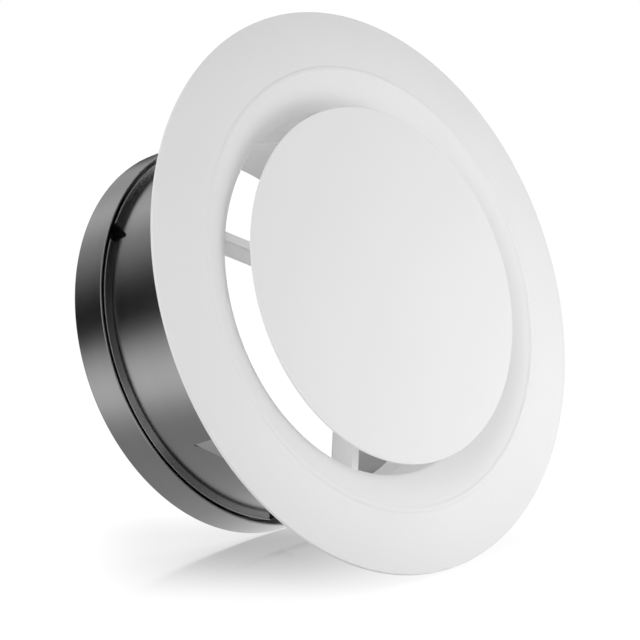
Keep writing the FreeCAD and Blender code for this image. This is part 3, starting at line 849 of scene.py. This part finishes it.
@dataclass
class DiscAndSpindle:
    """The disc with its spindle, washer, nut and end clip."""

    disc_radius: float = 66.55
    disc_back: float = 85.35
    edge: float = 0.9
    edge_soften: float = 0.3
    crown: float = 0.4
    crown_rows: int = 4
    disc_segments: int = 320
    boss_radius: float = 8.5
    boss_end: float = 80.35
    head_radius: float = 5.6
    thread_radius: float = 4.6
    thread_depth: float = 0.85
    lead: float = 3.0
    thread_step: float = 0.14
    thread_fade: float = 1.5
    spindle_chamfer: float = 0.9
    spindle_segments: int = 64
    spindle_end: float = 32.6
    groove_low: float = 34.3
    groove_high: float = 35.3
    groove_radius: float = 3.7
    bore_gap: float = 0.05
    washer_radius: float = 9.5
    sheet: float = 0.8
    nut_flats: float = 15.0
    nut_height: float = 3.4
    nut_chamfer: float = 0.55
    clip_radius: float = 7.0
    clip_mouth: float = 5.0
    clip_gap: float = 0.1
    clip_rows: int = 7
    clip_columns: int = 97
    washer_edge: float = 0.15

    def plate(self) -> Form:
        """The disc: a low crown over a flat back, with a hollow boss."""
        front = self.disc_back + self.edge
        face = self.disc_radius - self.edge_soften
        curve = (face ** 2 + self.crown ** 2) / (2.0 * self.crown)
        return lathed([
            (0.0, self.disc_back),
            (self.head_radius + self.bore_gap, self.disc_back, 0.2),
            (self.head_radius + self.bore_gap, self.boss_end, 0.3),
            (self.boss_radius, self.boss_end, 0.4),
            (self.boss_radius, self.disc_back, 0.8),
            (face, self.disc_back, 0.0, self.edge_soften),
            (self.disc_radius, self.disc_back + self.edge_soften),
            (self.disc_radius, front - self.edge_soften, 0.0, self.edge_soften),
            (face, front, 0.0, curve),
            (0.0, front + self.crown),
        ], self.disc_segments, closed=False, least=self.crown_rows)

    def spindle(self) -> Form:
        """The threaded spindle.

        The radius is the thread's outer radius less its depth times a trapezium wave
        of (z / lead - angle / turn), which makes a right-hand thread. The wave
        fades out at the groove, the head and the end.
        """
        rows = np.arange(self.spindle_end, self.boss_end, self.thread_step)
        z = np.concatenate([[self.spindle_end], rows, [self.boss_end, self.boss_end,
                            self.disc_back, self.disc_back]])
        base = np.interp(z, [self.spindle_end, self.spindle_end + self.spindle_chamfer],
                         [self.groove_radius, self.thread_radius])
        in_groove = (z > self.groove_low) & (z < self.groove_high)
        base[in_groove] = self.groove_radius
        base[0] = 0.0
        base[-4:] = [self.thread_radius, self.head_radius, self.head_radius, 0.0]
        fade = np.clip((z - self.groove_high - 0.3) / self.thread_fade, 0.0, 1.0)
        fade *= np.clip((self.boss_end - 0.4 - z) / self.thread_fade, 0.0, 1.0)

        def thread(x: Array, height: Array, angle: Array) -> Array:
            """The radius with the thread cut in it."""
            wave = (height / self.lead - angle / TURN) % 1.0
            trapezium = np.clip(4.0 * np.abs(wave - 0.5) - 0.5, 0.0, 1.0)
            return x - self.thread_depth * (1.0 - trapezium) * fade[:, None]

        return turned(np.stack([base, z], axis=1), self.spindle_segments, closed=False,
                      reach=thread)

    def nut(self) -> Form:
        """The hexagon nut: half the flats over the cosine in each sixth, with cones."""
        top = self.boss_end - self.sheet
        low = top - self.nut_height
        half = self.nut_flats / 2.0
        corner = half / math.cos(math.pi / 6.0)
        bore = self.thread_radius + self.bore_gap
        line = outline([
            (bore, low, 0.3),
            (half, low, 0.1),
            (corner, low + self.nut_chamfer, 0.1),
            (corner, top - self.nut_chamfer, 0.1),
            (half, top, 0.1),
            (bore, top, 0.3),
        ])

        def hexagon(x: Array, height: Array, angle: Array) -> Array:
            """The smaller of the outline's radius and the hexagon's."""
            side = half / np.cos(angle % (math.pi / 3.0) - math.pi / 6.0)
            return np.minimum(x, side)

        return turned(line, SMALL_SEGMENTS, reach=hexagon)

    def washer(self) -> Form:
        """The washer between the boss and the nut."""
        top = self.boss_end
        return flat_ring(self.thread_radius + self.bore_gap, self.washer_radius,
                         top - self.sheet, top, self.washer_edge)

    def clip(self) -> Form:
        """The open clip: a ring of sheet over all but its mouth."""
        inner = self.groove_radius + self.clip_gap
        width = np.linspace(inner, self.clip_radius, self.clip_rows)[:, None]
        gap = np.arcsin(self.clip_mouth / 2.0 / width)
        share = np.linspace(0.0, 1.0, self.clip_columns)[None, :]
        angle = gap + (TURN - 2.0 * gap) * share
        low = self.groove_low + self.clip_gap
        height = np.full_like(angle, low + self.sheet / 2.0)
        middle = np.stack([width * np.cos(angle), width * np.sin(angle), height], -1)
        normal = np.zeros_like(middle)
        normal[..., 2] = 1.0
        return thick_sheet(middle, normal, self.sheet)

    def dress(self, shop: Workshop) -> None:
        """Build the pieces that turn with the disc."""
        shop.piece("disc_plate", [self.plate()], Body.DISC, Slot.WHITE, "valve_disc")
        shop.piece("spindle_thread", [self.spindle()], Body.DISC, Slot.ZINC, "spindle")
        shop.piece("disc_nut_hexagon", [self.nut()], Body.DISC, Slot.ZINC, "disc_nut")
        shop.piece("disc_washer_ring", [self.washer()], Body.DISC, Slot.ZINC,
                   "disc_washer")
        shop.piece("end_clip_ring", [self.clip()], Body.DISC, Slot.SPRING, "end_clip")


@dataclass
class HubFittings:
    """The bush in the hub and what locks and stops the spindle."""

    bore: float = 4.65
    bush_radius: float = 7.5
    bush_end: float = 57.9
    cup_floor: float = 66.9
    bush_flange: float = 1.2
    flange_radius: float = 9.5
    washer_bore: float = 4.9
    sheet: float = 0.8
    lock_washer_low: float = 57.0
    lock_washer_radius: float = 10.0
    nut_top: float = 56.9
    nut_low: float = 50.4
    nut_radius: float = 12.0
    nut_face: float = 9.5
    nut_segments: int = 288
    flute_count: int = 12
    flute_radius: float = 1.7
    flute_out: float = 0.6
    stop_low: float = 35.3
    stop_radius: float = 8.0
    washer_edge: float = 0.15

    def washer(self, low: float, radius: float) -> Form:
        """A loose washer at a height."""
        return flat_ring(self.washer_bore, radius, low, low + self.sheet,
                         self.washer_edge)

    def bush(self) -> Form:
        """The brass bush with its flange."""
        top = self.cup_floor + self.bush_flange
        return lathed([
            (self.bore, self.bush_end, 0.3),
            (self.bush_radius, self.bush_end, 0.3),
            (self.bush_radius, self.cup_floor, 0.1),
            (self.flange_radius, self.cup_floor, 0.1),
            (self.flange_radius, top, 0.25),
            (self.bore, top, 0.3),
        ], SMALL_SEGMENTS)

    def hand_nut(self) -> Form:
        """The hand nut: a turned grip less the circle of each flute."""
        slope = self.flute_radius
        line = outline([
            (self.bore, self.nut_low, 0.4),
            (self.nut_face, self.nut_low, 0.3),
            (self.nut_radius, self.nut_low + slope, 0.5),
            (self.nut_radius, self.nut_top - slope, 0.5),
            (self.nut_face, self.nut_top, 0.3),
            (self.bore, self.nut_top, 0.4),
        ], hold=0.3)
        centre = self.nut_radius + self.flute_out
        step = TURN / self.flute_count

        def fluted(x: Array, height: Array, angle: Array) -> Array:
            """The smaller of the grip's radius and the near side of a flute."""
            aside = (angle - math.pi / 2.0 + step / 2.0) % step - step / 2.0
            offset = centre * np.sin(aside)
            depth = np.sqrt(np.maximum(self.flute_radius ** 2 - offset ** 2, 0.0))
            near = centre * np.cos(aside) - depth
            inside = np.abs(offset) < self.flute_radius
            return np.where(inside, np.minimum(x, near), x)

        return turned(line, self.nut_segments, reach=fluted)

    def dress(self, shop: Workshop) -> None:
        """Build the bush, the two washers and the hand nut."""
        shop.piece("bush_turned", [self.bush()], Body.VENT, Slot.BRASS, "hub_bush")
        shop.piece("lock_washer_ring",
                   [self.washer(self.lock_washer_low, self.lock_washer_radius)],
                   Body.LOCK_RING, Slot.ZINC, "lock_washer")
        shop.piece("hand_nut_grip", [self.hand_nut()], Body.HAND_NUT, Slot.NYLON,
                   "lock_nut")
        shop.piece("stop_washer_ring", [self.washer(self.stop_low, self.stop_radius)],
                   Body.STOP, Slot.ZINC, "stop_washer")


@dataclass
class NeckSleeve:
    """The dark sheet neck: a flat pattern rolled round the tube."""

    inner: float = 69.15
    sheet: float = 0.8
    rear: float = 6.6
    front: float = 71.9
    fold_radius: float = 71.75
    fold_low: float = 13.6
    fold_high: float = 14.4
    fold_steps: int = 110
    count: int = 3
    notch_angle: float = 228.2
    stem_width: float = 3.8
    head_width: float = 7.1
    head_tip: float = 1.3
    head_low: float = 13.5
    head_high: float = 20.8
    leg_turn: float = 20.0
    leg_low: float = 8.5
    leg_high: float = 11.9
    flap_lag: float = 69.7
    flap_low: float = 30.1
    flap_length: float = 15.0
    flap_width: float = 13.0
    flap_lift: float = math.radians(14.0)
    flap_slit: float = 0.5
    flap_tip: float = 0.25
    # Painted sheen: the flaps' colour is multiplied by this so they look lighter, as if
    # light catches their bent-out faces.
    flap_painted_sheen: float = 1.5
    flap_rows: int = 22
    flap_columns: int = 12
    rivet_angle: float = 90.0
    rivet_height: float = 60.9
    rivet_shank: float = 1.6
    rivet_inside: float = 67.35
    rivet_tail: float = 2.4
    tail_height: float = 0.6
    rivet_head: float = 2.8
    dome_height: float = 0.9
    dome_curve: float = 4.81
    rivet_segments: int = 40
    hole_segments: int = 24
    seam_shift: float = 0.2
    angle_step: float = math.radians(1.5)
    row_start: float = 2.0
    row_step: float = 2.2
    edge_step: float = 1.6
    edge_clearance: float = 0.7
    crisp_angle: float = math.radians(40.0)

    @property
    def middle(self) -> float:
        """Radius of the sheet's middle."""
        return self.inner + self.sheet / 2.0

    @property
    def outer(self) -> float:
        """Radius of the sheet's outer face."""
        return self.inner + self.sheet

    def rear_edge(self) -> Array:
        """The pattern's rear edge with its slots, as angle and height."""
        turn = TURN / self.count
        rows = []
        start = math.radians(self.notch_angle) - turn
        reach = self.outer
        half_leg = (self.leg_high - self.leg_low) / 2.0
        leg_end = math.radians(self.leg_turn) + half_leg / reach
        stem_middle = self.stem_width / 2.0 / reach
        for i in range(self.count):
            side = start + turn * (i + 1)
            stem = side - self.stem_width / reach
            foot = side - self.head_width / reach
            leg = side - stem_middle - leg_end
            rows += [
                (stem, self.rear), (stem, self.leg_low), (leg, self.leg_low),
                (leg, self.leg_high), (stem, self.leg_high), (stem, self.head_low),
                (foot, self.head_low),
                (side - self.head_tip / reach, self.head_high),
                (side, self.head_high), (side, self.rear),
            ]
        return np.array(rows)

    def windows(self) -> list[Array]:
        """The holes in the pattern: one behind each flap and one for each rivet."""
        turn = TURN / self.count
        found = []
        high = self.flap_low + self.flap_length
        for i in range(self.count):
            hinge = math.radians(self.notch_angle + self.flap_lag) + turn * i
            wide = (self.flap_width + self.flap_slit) / self.outer
            found.append(np.array([(hinge, self.flap_low - 2.0 * self.flap_slit),
                                   (hinge + wide, high), (hinge, high)]))
            t = np.linspace(0.0, TURN, self.hole_segments, endpoint=False)
            rivet = math.radians(self.rivet_angle) + turn * i
            found.append(np.stack([rivet + np.cos(t) * self.rivet_shank / self.outer,
                                   self.rivet_height + np.sin(t) * self.rivet_shank],
                                  1))
        return found

    def tube(self) -> Form:
        """The rolled pattern.

        The flat pattern is meshed as a plane figure of arc length and height, with
        a grid of inner points, and rolled: x = r cos(length / r), y = r sin(length
        / r). Its two faces lie at the inner and the outer radius.
        """
        seam = math.radians(self.notch_angle) - TURN / self.count + self.seam_shift
        end = seam + TURN
        edge = self.rear_edge()
        early = edge[:, 0] <= seam
        border = np.concatenate([
            [(seam, self.rear)], edge[~early], edge[early] + np.array([TURN, 0.0]),
            [(end, self.rear), (end, self.front), (seam, self.front)]])
        loops = [self._divided(border)]
        for hole in self.windows():
            shift = math.floor((hole[:, 0] - seam).min() / TURN) * TURN
            loops.append(self._divided(hole - np.array([shift, 0.0])))
        across = np.arange(seam + self.angle_step / 2, end, self.angle_step)
        along = np.arange(self.rear + self.row_start, self.front, self.row_step)
        inside = np.stack(np.meshgrid(across, along, indexing="ij"), -1).reshape(-1, 2)
        return self._rolled(loops, inside, seam)

    def _divided(self, loop: Array) -> Array:
        """A loop with points added so that none of its sides is long."""
        rows = []
        for start, end in zip(loop, np.roll(loop, -1, axis=0)):
            span = np.hypot((end[0] - start[0]) * self.outer, end[1] - start[1])
            count = max(1, math.ceil(span / self.edge_step))
            t = np.linspace(0.0, 1.0, count, endpoint=False)[:, None]
            rows.append(start + (end - start) * t)
        return np.concatenate(rows)

    def _rolled(self, loops: Sequence[Array], inside: Array, seam: float) -> Form:
        """Triangulate the pattern in the plane and roll both its faces.

        Args:
            loops: The outer loop first and then the holes, as angle and height.
            inside: Points for the pattern's inside.
            seam: The angle at which the pattern closes.

        Returns:
            The closed sheet.
        """
        scale = np.array([self.outer, 1.0])
        flat = [loop * scale for loop in loops]
        keep = inside * scale
        for loop in flat:
            run = np.roll(loop, -1, axis=0) - loop
            square = np.maximum((run ** 2).sum(1), 1e-12)
            t = ((keep[:, None] - loop[None]) * run).sum(-1) / square
            near = loop[None] + np.clip(t, 0.0, 1.0)[..., None] * run
            apart = np.linalg.norm(keep[:, None] - near, axis=-1).min(1)
            keep = keep[apart > self.edge_clearance]
        points = np.concatenate(flat + [keep])
        starts = np.cumsum([0] + [len(loop) for loop in flat[:-1]])
        faces = [list(range(s, s + len(loop))) for s, loop in zip(starts, flat)]
        found = delaunay_2d_cdt([Vector(p) for p in points.tolist()], [], faces, 0,
                                1e-5)
        places = np.array([tuple(p) for p in found[0]])
        kept = [list(face) for face, owner in zip(found[2], found[5]) if owner == [0]]
        return self._both_faces(places / scale, kept, seam)

    def _both_faces(self, places: Array, faces: list[list[int]], seam: float) -> Form:
        """Roll a triangulated pattern at both radii and wall its edges.

        Args:
            places: Points as angle and height.
            faces: The triangles, anticlockwise in the plane.
            seam: The angle at which the pattern closes on itself.

        Returns:
            The closed sheet. Its seam's points fall together and are merged later.
        """
        count = len(places)
        angle, height = places[:, 0], places[:, 1]
        ring = np.stack([np.cos(angle), np.sin(angle)], axis=1)
        outer = np.column_stack([ring * self.outer, height])
        inner = np.column_stack([ring * self.inner, height])
        triangles = np.array([face for face in faces if len(face) == 3])
        edges = np.concatenate([triangles[:, [0, 1]], triangles[:, [1, 2]],
                                triangles[:, [2, 0]]])
        known = {(a, b) for a, b in edges.tolist()}
        rim = [(a, b) for a, b in edges.tolist() if (b, a) not in known]
        end = seam + TURN
        on_seam = (np.abs(angle - seam) < 1e-6) | (np.abs(angle - end) < 1e-6)
        walls = [[b, a, a + count, b + count] for a, b in rim
                 if not (on_seam[a] and on_seam[b])]
        back = (triangles[:, ::-1] + count).tolist()
        return Form(np.concatenate([outer, inner]), triangles.tolist() + back + walls)

    def fold(self) -> list[Form]:
        """The stop fold at the collar's front edge, open at each notch."""
        line = outline([
            (self.middle, self.fold_low, 0.1),
            (self.fold_radius, self.fold_low, 0.3),
            (self.fold_radius, self.fold_high, 0.3),
            (self.middle, self.fold_high, 0.1),
        ])
        side = math.radians(self.notch_angle)
        turn = TURN / self.count
        reach = self.head_width / self.outer
        return [swept(line, side + turn * i, side + turn * (i + 1) - reach,
                      self.fold_steps) for i in range(self.count)]

    def flaps(self) -> list[Form]:
        """The spring flaps: triangles bent out along their upright hinge.

        A point at distance s from the hinge lies at the hinge plus s along the
        tangent turned outwards by the lift, over a grid that narrows to the tip.
        """
        rise = np.linspace(0.0, 1.0, self.flap_rows)[:, None]
        width = self.flap_tip + (self.flap_width - self.flap_tip) * rise
        share = np.linspace(0.0, 1.0, self.flap_columns)[None, :]
        s = width * share - self.sheet / 2.0 * (1.0 - share)
        z = self.flap_low + self.flap_length * rise + 0.0 * share
        x = self.middle + s * math.sin(self.flap_lift)
        y = s * math.cos(self.flap_lift)
        middle = np.stack([x, y, z], axis=-1)
        normal = np.zeros_like(middle)
        normal[..., 0] = math.cos(self.flap_lift)
        normal[..., 1] = -math.sin(self.flap_lift)
        # The flaps carry a painted sheen: their colour is multiplied so they look
        # lighter.
        flap = thick_sheet(middle, normal, self.sheet, self.flap_painted_sheen)
        return flap.around(self.count, self.notch_angle + self.flap_lag)

    def rivets(self) -> list[Form]:
        """The rivets: a low dome outside, a shank and a flat tail inside."""
        inside, outside = self.rivet_inside, self.outer
        rivet = lathed([
            (0.0, inside - self.tail_height),
            (self.rivet_tail, inside - self.tail_height, 0.2),
            (self.rivet_tail, inside, 0.1),
            (self.rivet_shank, inside),
            (self.rivet_shank, outside),
            (self.rivet_head, outside, 0.15, self.dome_curve),
            (0.0, outside + self.dome_height),
        ], self.rivet_segments, closed=False)
        return rivet.laid(self.rivet_height).around(self.count, self.rivet_angle)

    def dress(self, shop: Workshop) -> None:
        """Build the sleeve with its flaps, and the rivets."""
        forms = [self.tube(), *self.fold(), *self.flaps()]
        sleeve = shop.piece("neck_sheet", forms, Body.VENT, Slot.DARK_METAL,
                            "neck_sleeve")
        sleeve.data.set_sharp_from_angle(angle=self.crisp_angle)
        shop.piece("rivet_heads", self.rivets(), Body.VENT, Slot.RIVET,
                   "sleeve_rivets")


@dataclass
class DuctCollar:
    """The pressed collar: outer band, web, inner neck with dimples, and a hem."""

    radius: float = 73.65
    sheet: float = 0.8
    height: float = 14.4
    soften: float = 0.3
    neck_radius: float = 68.75
    neck_top: float = 39.0
    web_top: float = 5.6
    hem_height: float = 4.5
    hem_width: float = 2.2
    count: int = 3
    locked_angle: float = 206.65
    dimple_radius: float = 1.3
    dimple_height: float = 10.2
    dimple_tip: float = 70.45
    dimple_segments: int = 32
    segments: int = 320

    def ring(self) -> Form:
        """The collar's turned section."""
        inside = self.radius - self.sheet
        bore = self.neck_radius - self.sheet
        hem = self.radius - self.hem_width
        return lathed([
            (hem, 0.0, 0.45),
            (self.radius, 0.0, 0.5),
            (self.radius, self.height, self.soften),
            (inside, self.height, self.soften),
            (inside, self.web_top, 0.3),
            (self.neck_radius, self.web_top, 0.3),
            (self.neck_radius, self.neck_top, 0.3),
            (bore, self.neck_top, 0.3),
            (bore, self.hem_height, 0.5),
            (hem, self.hem_height, 0.3),
        ], self.segments)

    def dimples(self) -> list[Form]:
        """The bayonet dimples: short round pins pressed out of the neck."""
        root = self.neck_radius - self.sheet / 2.0
        dimple = lathed([
            (0.0, root),
            (self.dimple_radius, root),
            (self.dimple_radius, self.dimple_tip, 0.5),
            (0.0, self.dimple_tip),
        ], self.dimple_segments, closed=False)
        return dimple.laid(self.dimple_height).around(self.count, self.locked_angle)

    def dress(self, shop: Workshop) -> None:
        """Build the collar with its dimples."""
        forms = [self.ring(), *self.dimples()]
        shop.piece("collar_band", forms, Body.COLLAR, Slot.DARK_METAL, "duct_collar")


@dataclass
class Gasket:
    """The foam ring in the channel behind the flange."""

    inner: float = 93.4
    outer: float = 100.3
    low: float = 75.5
    height: float = 1.0
    edge: float = 0.3
    segments: int = 240

    def dress(self, shop: Workshop) -> None:
        """Build the foam ring with soft edges."""
        ring = flat_ring(self.inner, self.outer, self.low, self.low + self.height,
                         self.edge, self.segments, facets=5)
        shop.piece("gasket_foam", [ring], Body.VENT, Slot.FOAM, "flange_gasket")


@dataclass(frozen=True)
class Slide:
    """A level that slides from one value to another over a stretch of the floor.

    The stretch is counted in metres from the point where the vent's rim touches.
    """

    start: float
    end: float
    first: float
    last: float


@dataclass(frozen=True)
class Panel:
    """A square area light: its place, what it faces, its side and its watts."""

    name: str
    place: Place
    target: Place
    side: float
    power: float


@dataclass
class Studio:
    """The camera, the white floor that the vent lies on, and the light.

    Lengths are metres here. Tones are a level for each place or angle in degrees.
    """

    target: Place = (0.00461, 0.0, 0.05030)
    distance: float = 1.8316
    elevation: float = math.radians(42.65)
    lens: float = 281.25
    up: Place = (-0.9469, 0.2179, 0.2365)
    room_light: float = 0.5
    panels: tuple[Panel, ...] = (
        Panel("key", (0.12, 0.14, 0.32), (0.0, 0.0, 0.08), 0.26, 0.42),
        Panel("fill", (-0.5, -0.9, 0.3), (0.0, 0.0, 0.05), 0.9, 3.7),
        Panel("duct", (-0.06, 0.0, -0.2), (0.0, 0.0, 0.05), 0.14, 0.4))
    floor_up: Place = (-0.9211, 0.0467, 0.3866)
    floor_half: float = 0.9
    floor_gap: float = 0.0004
    floor_colour: float = 0.8
    floor_level: float = 1.04
    rim_radius: float = 0.1051
    rim_height: float = 0.0755
    shade_reach: float = 0.13
    shade_samples: int = 8
    shade_sky: Pair = (0.95, 0.3)
    shade_level: float = 0.58
    shade_fades: Slide = Slide(-0.04, 0.05, 1.0, 0.12)
    mirror_lean: float = math.radians(11.0)
    mirror_roughness: float = 0.2
    mirror_fades: Slide = Slide(-0.05, 0.05, 0.4, 0.0)
    starts: Slide = Slide(-0.09, -0.04, 0.0, 1.0)
    leftward: Slide = Slide(-0.01, 0.06, 0.15, 1.0)
    ends: Slide = Slide(0.105, 0.14, 1.0, 0.0)
    tone_reach: float = 0.6
    floor_tones: tuple[Pair, ...] = (
        (0.0, 1.0), (0.035, 0.8), (0.07, 0.5), (0.1, 0.41), (0.15, 0.36), (0.185, 0.38),
        (0.22, 0.55), (0.26, 0.82), (0.31, 0.92), (0.4, 0.84), (0.52, 0.66),
        (0.75, 0.45), (1.0, 0.3))
    curtain_radius: float = 0.8
    curtain_steps: int = 48
    low_span: Pair = (-1.2, -0.3)
    low_tones: tuple[Pair, ...] = (
        (104.0, 0.05), (118.0, 0.1), (127.0, 0.45), (136.0, 0.5), (150.0, 0.52),
        (161.0, 0.66), (170.0, 0.76), (180.0, 0.62), (190.0, 0.42), (200.0, 0.32),
        (210.0, 0.18), (220.0, 0.06), (230.0, 0.01), (240.0, 0.02), (250.0, 0.16),
        (260.0, 0.38), (270.0, 0.5))
    high_span: Pair = (0.25, 1.4)
    high_tones: tuple[Pair, ...] = (
        (125.0, 0.05), (140.0, 0.01), (200.0, 0.01), (225.0, 0.06), (250.0, 0.2),
        (280.0, 0.6))

    @property
    def back(self) -> Vector:
        """The way from the vent to the camera."""
        return Vector((0.0, -math.cos(self.elevation), math.sin(self.elevation)))

    def camera(self) -> None:
        """Place the camera at the photograph's viewing angle."""
        right = Vector(self.up).cross(self.back).normalized()
        up = self.back.cross(right).normalized()
        data = bpy.data.cameras.new("camera")
        data.lens = self.lens
        place = Vector(self.target) + self.back * self.distance
        turn = Matrix((right, up, self.back)).transposed().to_4x4()
        bpy.context.scene.camera = placed("camera", data,
                                          Matrix.Translation(place) @ turn)

    def world(self) -> None:
        """A white background for the eye and for gloss, and a plain level of light."""
        world = bpy.data.worlds.new("studio")
        bpy.context.scene.world = world
        world.use_nodes = True
        board = Board(world.node_tree, empty=True)
        room, white = (board.add("Background", {"Color": WHITE, "Strength": strength})
                       for strength in (self.room_light, 1.0))
        board.add("OutputWorld", {"Surface": board.mixed(self._seen(board), room,
                                                         white)})

    @staticmethod
    def _seen(board: Board) -> Source:
        """A mask that is 1 for camera, glossy and transmission rays."""
        path = board.add("LightPath").outputs
        return board.joined("MAXIMUM", (path["Is Camera Ray"], path["Is Glossy Ray"],
                                        path["Is Transmission Ray"]))

    def floor(self) -> None:
        """The white floor under the vent as it lies in the photograph.

        The plane touches the flange's rim and the collar's rear edge.
        """
        up = Vector(self.floor_up).normalized()
        away = Vector((-up.x, -up.y, 0.0)).normalized()
        contact = away * self.rim_radius + Vector((0.0, 0.0, self.rim_height))
        side = up.cross(Vector((0.0, 1.0, 0.0))).normalized()
        along = up.cross(side).normalized()
        corners = [contact + (side * a + along * b) * self.floor_half
                   - up * self.floor_gap
                   for a, b in ((-1, -1), (1, -1), (1, 1), (-1, 1))]
        mesh = bpy.data.meshes.new("floor")
        mesh.from_pydata(corners, [], [[0, 1, 2, 3]])
        if mesh.polygons[0].normal.dot(up) < 0.0:
            mesh.flip_normals()
        mesh.materials.append(self._floor_paint(contact))
        made = placed("floor", mesh)

    @staticmethod
    def _slid(board: Board, way: Vector, contact: Vector,
              slides: Sequence[Slide]) -> list[bpy.types.Node]:
        """The levels of slides along a way of the floor.

        Args:
            board: The floor's board.
            way: The way, a unit vector.
            contact: The point that the slides count from.
            slides: The slides.

        Returns:
            One node for each slide.
        """
        along = board.add("VectorMath", {0: board.place(), 1: way},
                          operation="DOT_PRODUCT").outputs["Value"]
        here = way.dot(contact)
        return [board.mapped(along, (here + slide.start, here + slide.end),
                             (slide.first, slide.last), interpolation_type="SMOOTHSTEP")
                for slide in slides]

    def _floor_paint(self, contact: Vector) -> bpy.types.Material:
        """The floor's paint.

        The eye sees white, which dims where the vent covers the floor's sky, and a
        blurred, leaning mirror that is mixed in beside the vent. Gloss sees painted
        tones and other rays a matt white. From below the floor is clear.

        Args:
            contact: The point where the vent's rim touches.

        Returns:
            The material.
        """
        paint, board = Board.paint("polished_white_floor")
        up = Vector(self.floor_up)
        nearer = (self.back - up * self.back.dot(up)).normalized()
        leftward, ends = self._slid(board, nearer.cross(up), contact,
                                    (self.leftward, self.ends))
        starts, shade_fades, mirror_fades = self._slid(
            board, nearer, contact, (self.starts, self.shade_fades, self.mirror_fades))

        sky = board.add("AmbientOcclusion", {"Distance": self.shade_reach},
                        samples=self.shade_samples)
        covered = board.mapped(sky.outputs["AO"], self.shade_sky)
        shade = board.joined("MULTIPLY", (covered, leftward, ends, starts, shade_fades))
        eye = board.add("Emission", {"Strength": board.mapped(
            shade, levels=(self.floor_level, self.shade_level))})

        leaning = up * math.cos(self.mirror_lean) + nearer * math.sin(self.mirror_lean)
        lean = board.add("CombineXYZ", dict(zip("XYZ", leaning.normalized())))
        mirror = board.add("BsdfGlossy", {"Color": WHITE, "Normal": lean,
                                          "Roughness": self.mirror_roughness})
        share = board.joined("MULTIPLY", (leftward, ends, starts, mirror_fades))

        path = board.add("LightPath").outputs
        seen = board.mixed(path["Is Glossy Ray"], board.mixed(share, eye, mirror),
                           self._painted(board))
        matt = board.add("BsdfDiffuse", {"Color": (*[self.floor_colour] * 3, 1.0)})
        above = board.mixed(self._seen(board), matt, seen)
        under = board.add("NewGeometry").outputs["Backfacing"]
        board.add("OutputMaterial", {"Surface": board.mixed(
            under, above, board.add("BsdfTransparent"))})
        return paint

    def _painted(self, board: Board) -> bpy.types.Node:
        """How gloss sees the floor: bright beside the vent, darker on both sides.

        The tone runs along -Y, the way in which the neck's mirrored view sweeps.
        """
        split = board.add("SeparateXYZ", {0: board.place()})
        reach = board.mapped(split.outputs["Y"], (0.0, -self.tone_reach))
        return board.add("Emission", {"Color": board.ramp(reach, self.floor_tones)})

    def lights(self) -> None:
        """Hang the panels, which neither the eye nor gloss sees."""
        for panel in self.panels:
            data = bpy.data.lights.new(panel.name, "AREA")
            data.size = panel.side
            data.energy = panel.power
            facing = Vector(panel.place) - Vector(panel.target)
            turn = facing.to_track_quat("Z", "Y").to_matrix().to_4x4()
            made = placed(panel.name, data,
                          Matrix.Translation(Vector(panel.place)) @ turn)
            made.visible_camera = False
            made.visible_glossy = False

    def curtain(self, name: str, span: Pair, tones: Sequence[Pair]) -> None:
        """A toned curtain that only gloss sees, so that the metal shows its form.

        It stands on an arc round the vent's axis, behind the left of the neck.

        Args:
            name: The curtain's name.
            span: Where it starts and ends along the axis.
            tones: Its tone at angles round the axis.
        """
        first, last = tones[0][0], tones[-1][0]
        share = np.linspace(0.0, 1.0, self.curtain_steps + 1)
        turn = np.radians(first + (last - first) * share)
        places = [(self.curtain_radius * math.cos(angle),
                   self.curtain_radius * math.sin(angle), height)
                  for angle in turn for height in span]
        faces = [(2 * k, 2 * k + 2, 2 * k + 3, 2 * k + 1)
                 for k in range(self.curtain_steps)]
        mesh = bpy.data.meshes.new(name)
        mesh.from_pydata(places, [], faces)
        layer = mesh.uv_layers.new(name="along")
        for loop in mesh.loops:
            layer.data[loop.index].uv = (share[loop.vertex_index // 2], 0.0)
        paint, board = Board.paint(name + "_cloth")
        split = board.add("SeparateXYZ", {0: board.place("UV")})
        ramp = board.ramp(split, [((angle - first) / (last - first), level)
                                  for angle, level in tones])
        board.add("OutputMaterial", {"Surface": board.add("Emission", {"Color": ramp})})
        mesh.materials.append(paint)
        made = placed(name, mesh)
        made.visible_camera = False
        made.visible_diffuse = False
        made.visible_shadow = False

    def build(self) -> None:
        """Set up the whole studio."""
        bpy.context.scene.view_settings.view_transform = "Standard"
        self.camera()
        self.world()
        self.floor()
        self.lights()
        self.curtain("low_curtain", self.low_span, self.low_tones)
        self.curtain("high_curtain", self.high_span, self.high_tones)


def main() -> None:
    """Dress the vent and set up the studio."""
    logging.basicConfig(level=logging.INFO, format="%(name)s: %(message)s")
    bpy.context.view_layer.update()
    shop = Workshop()
    for part in (FaceMoulding(), DiscAndSpindle(), HubFittings(), NeckSleeve(),
                 DuctCollar(), Gasket()):
        part.dress(shop)
    Studio().build()


if __name__ == "__main__":
    main()
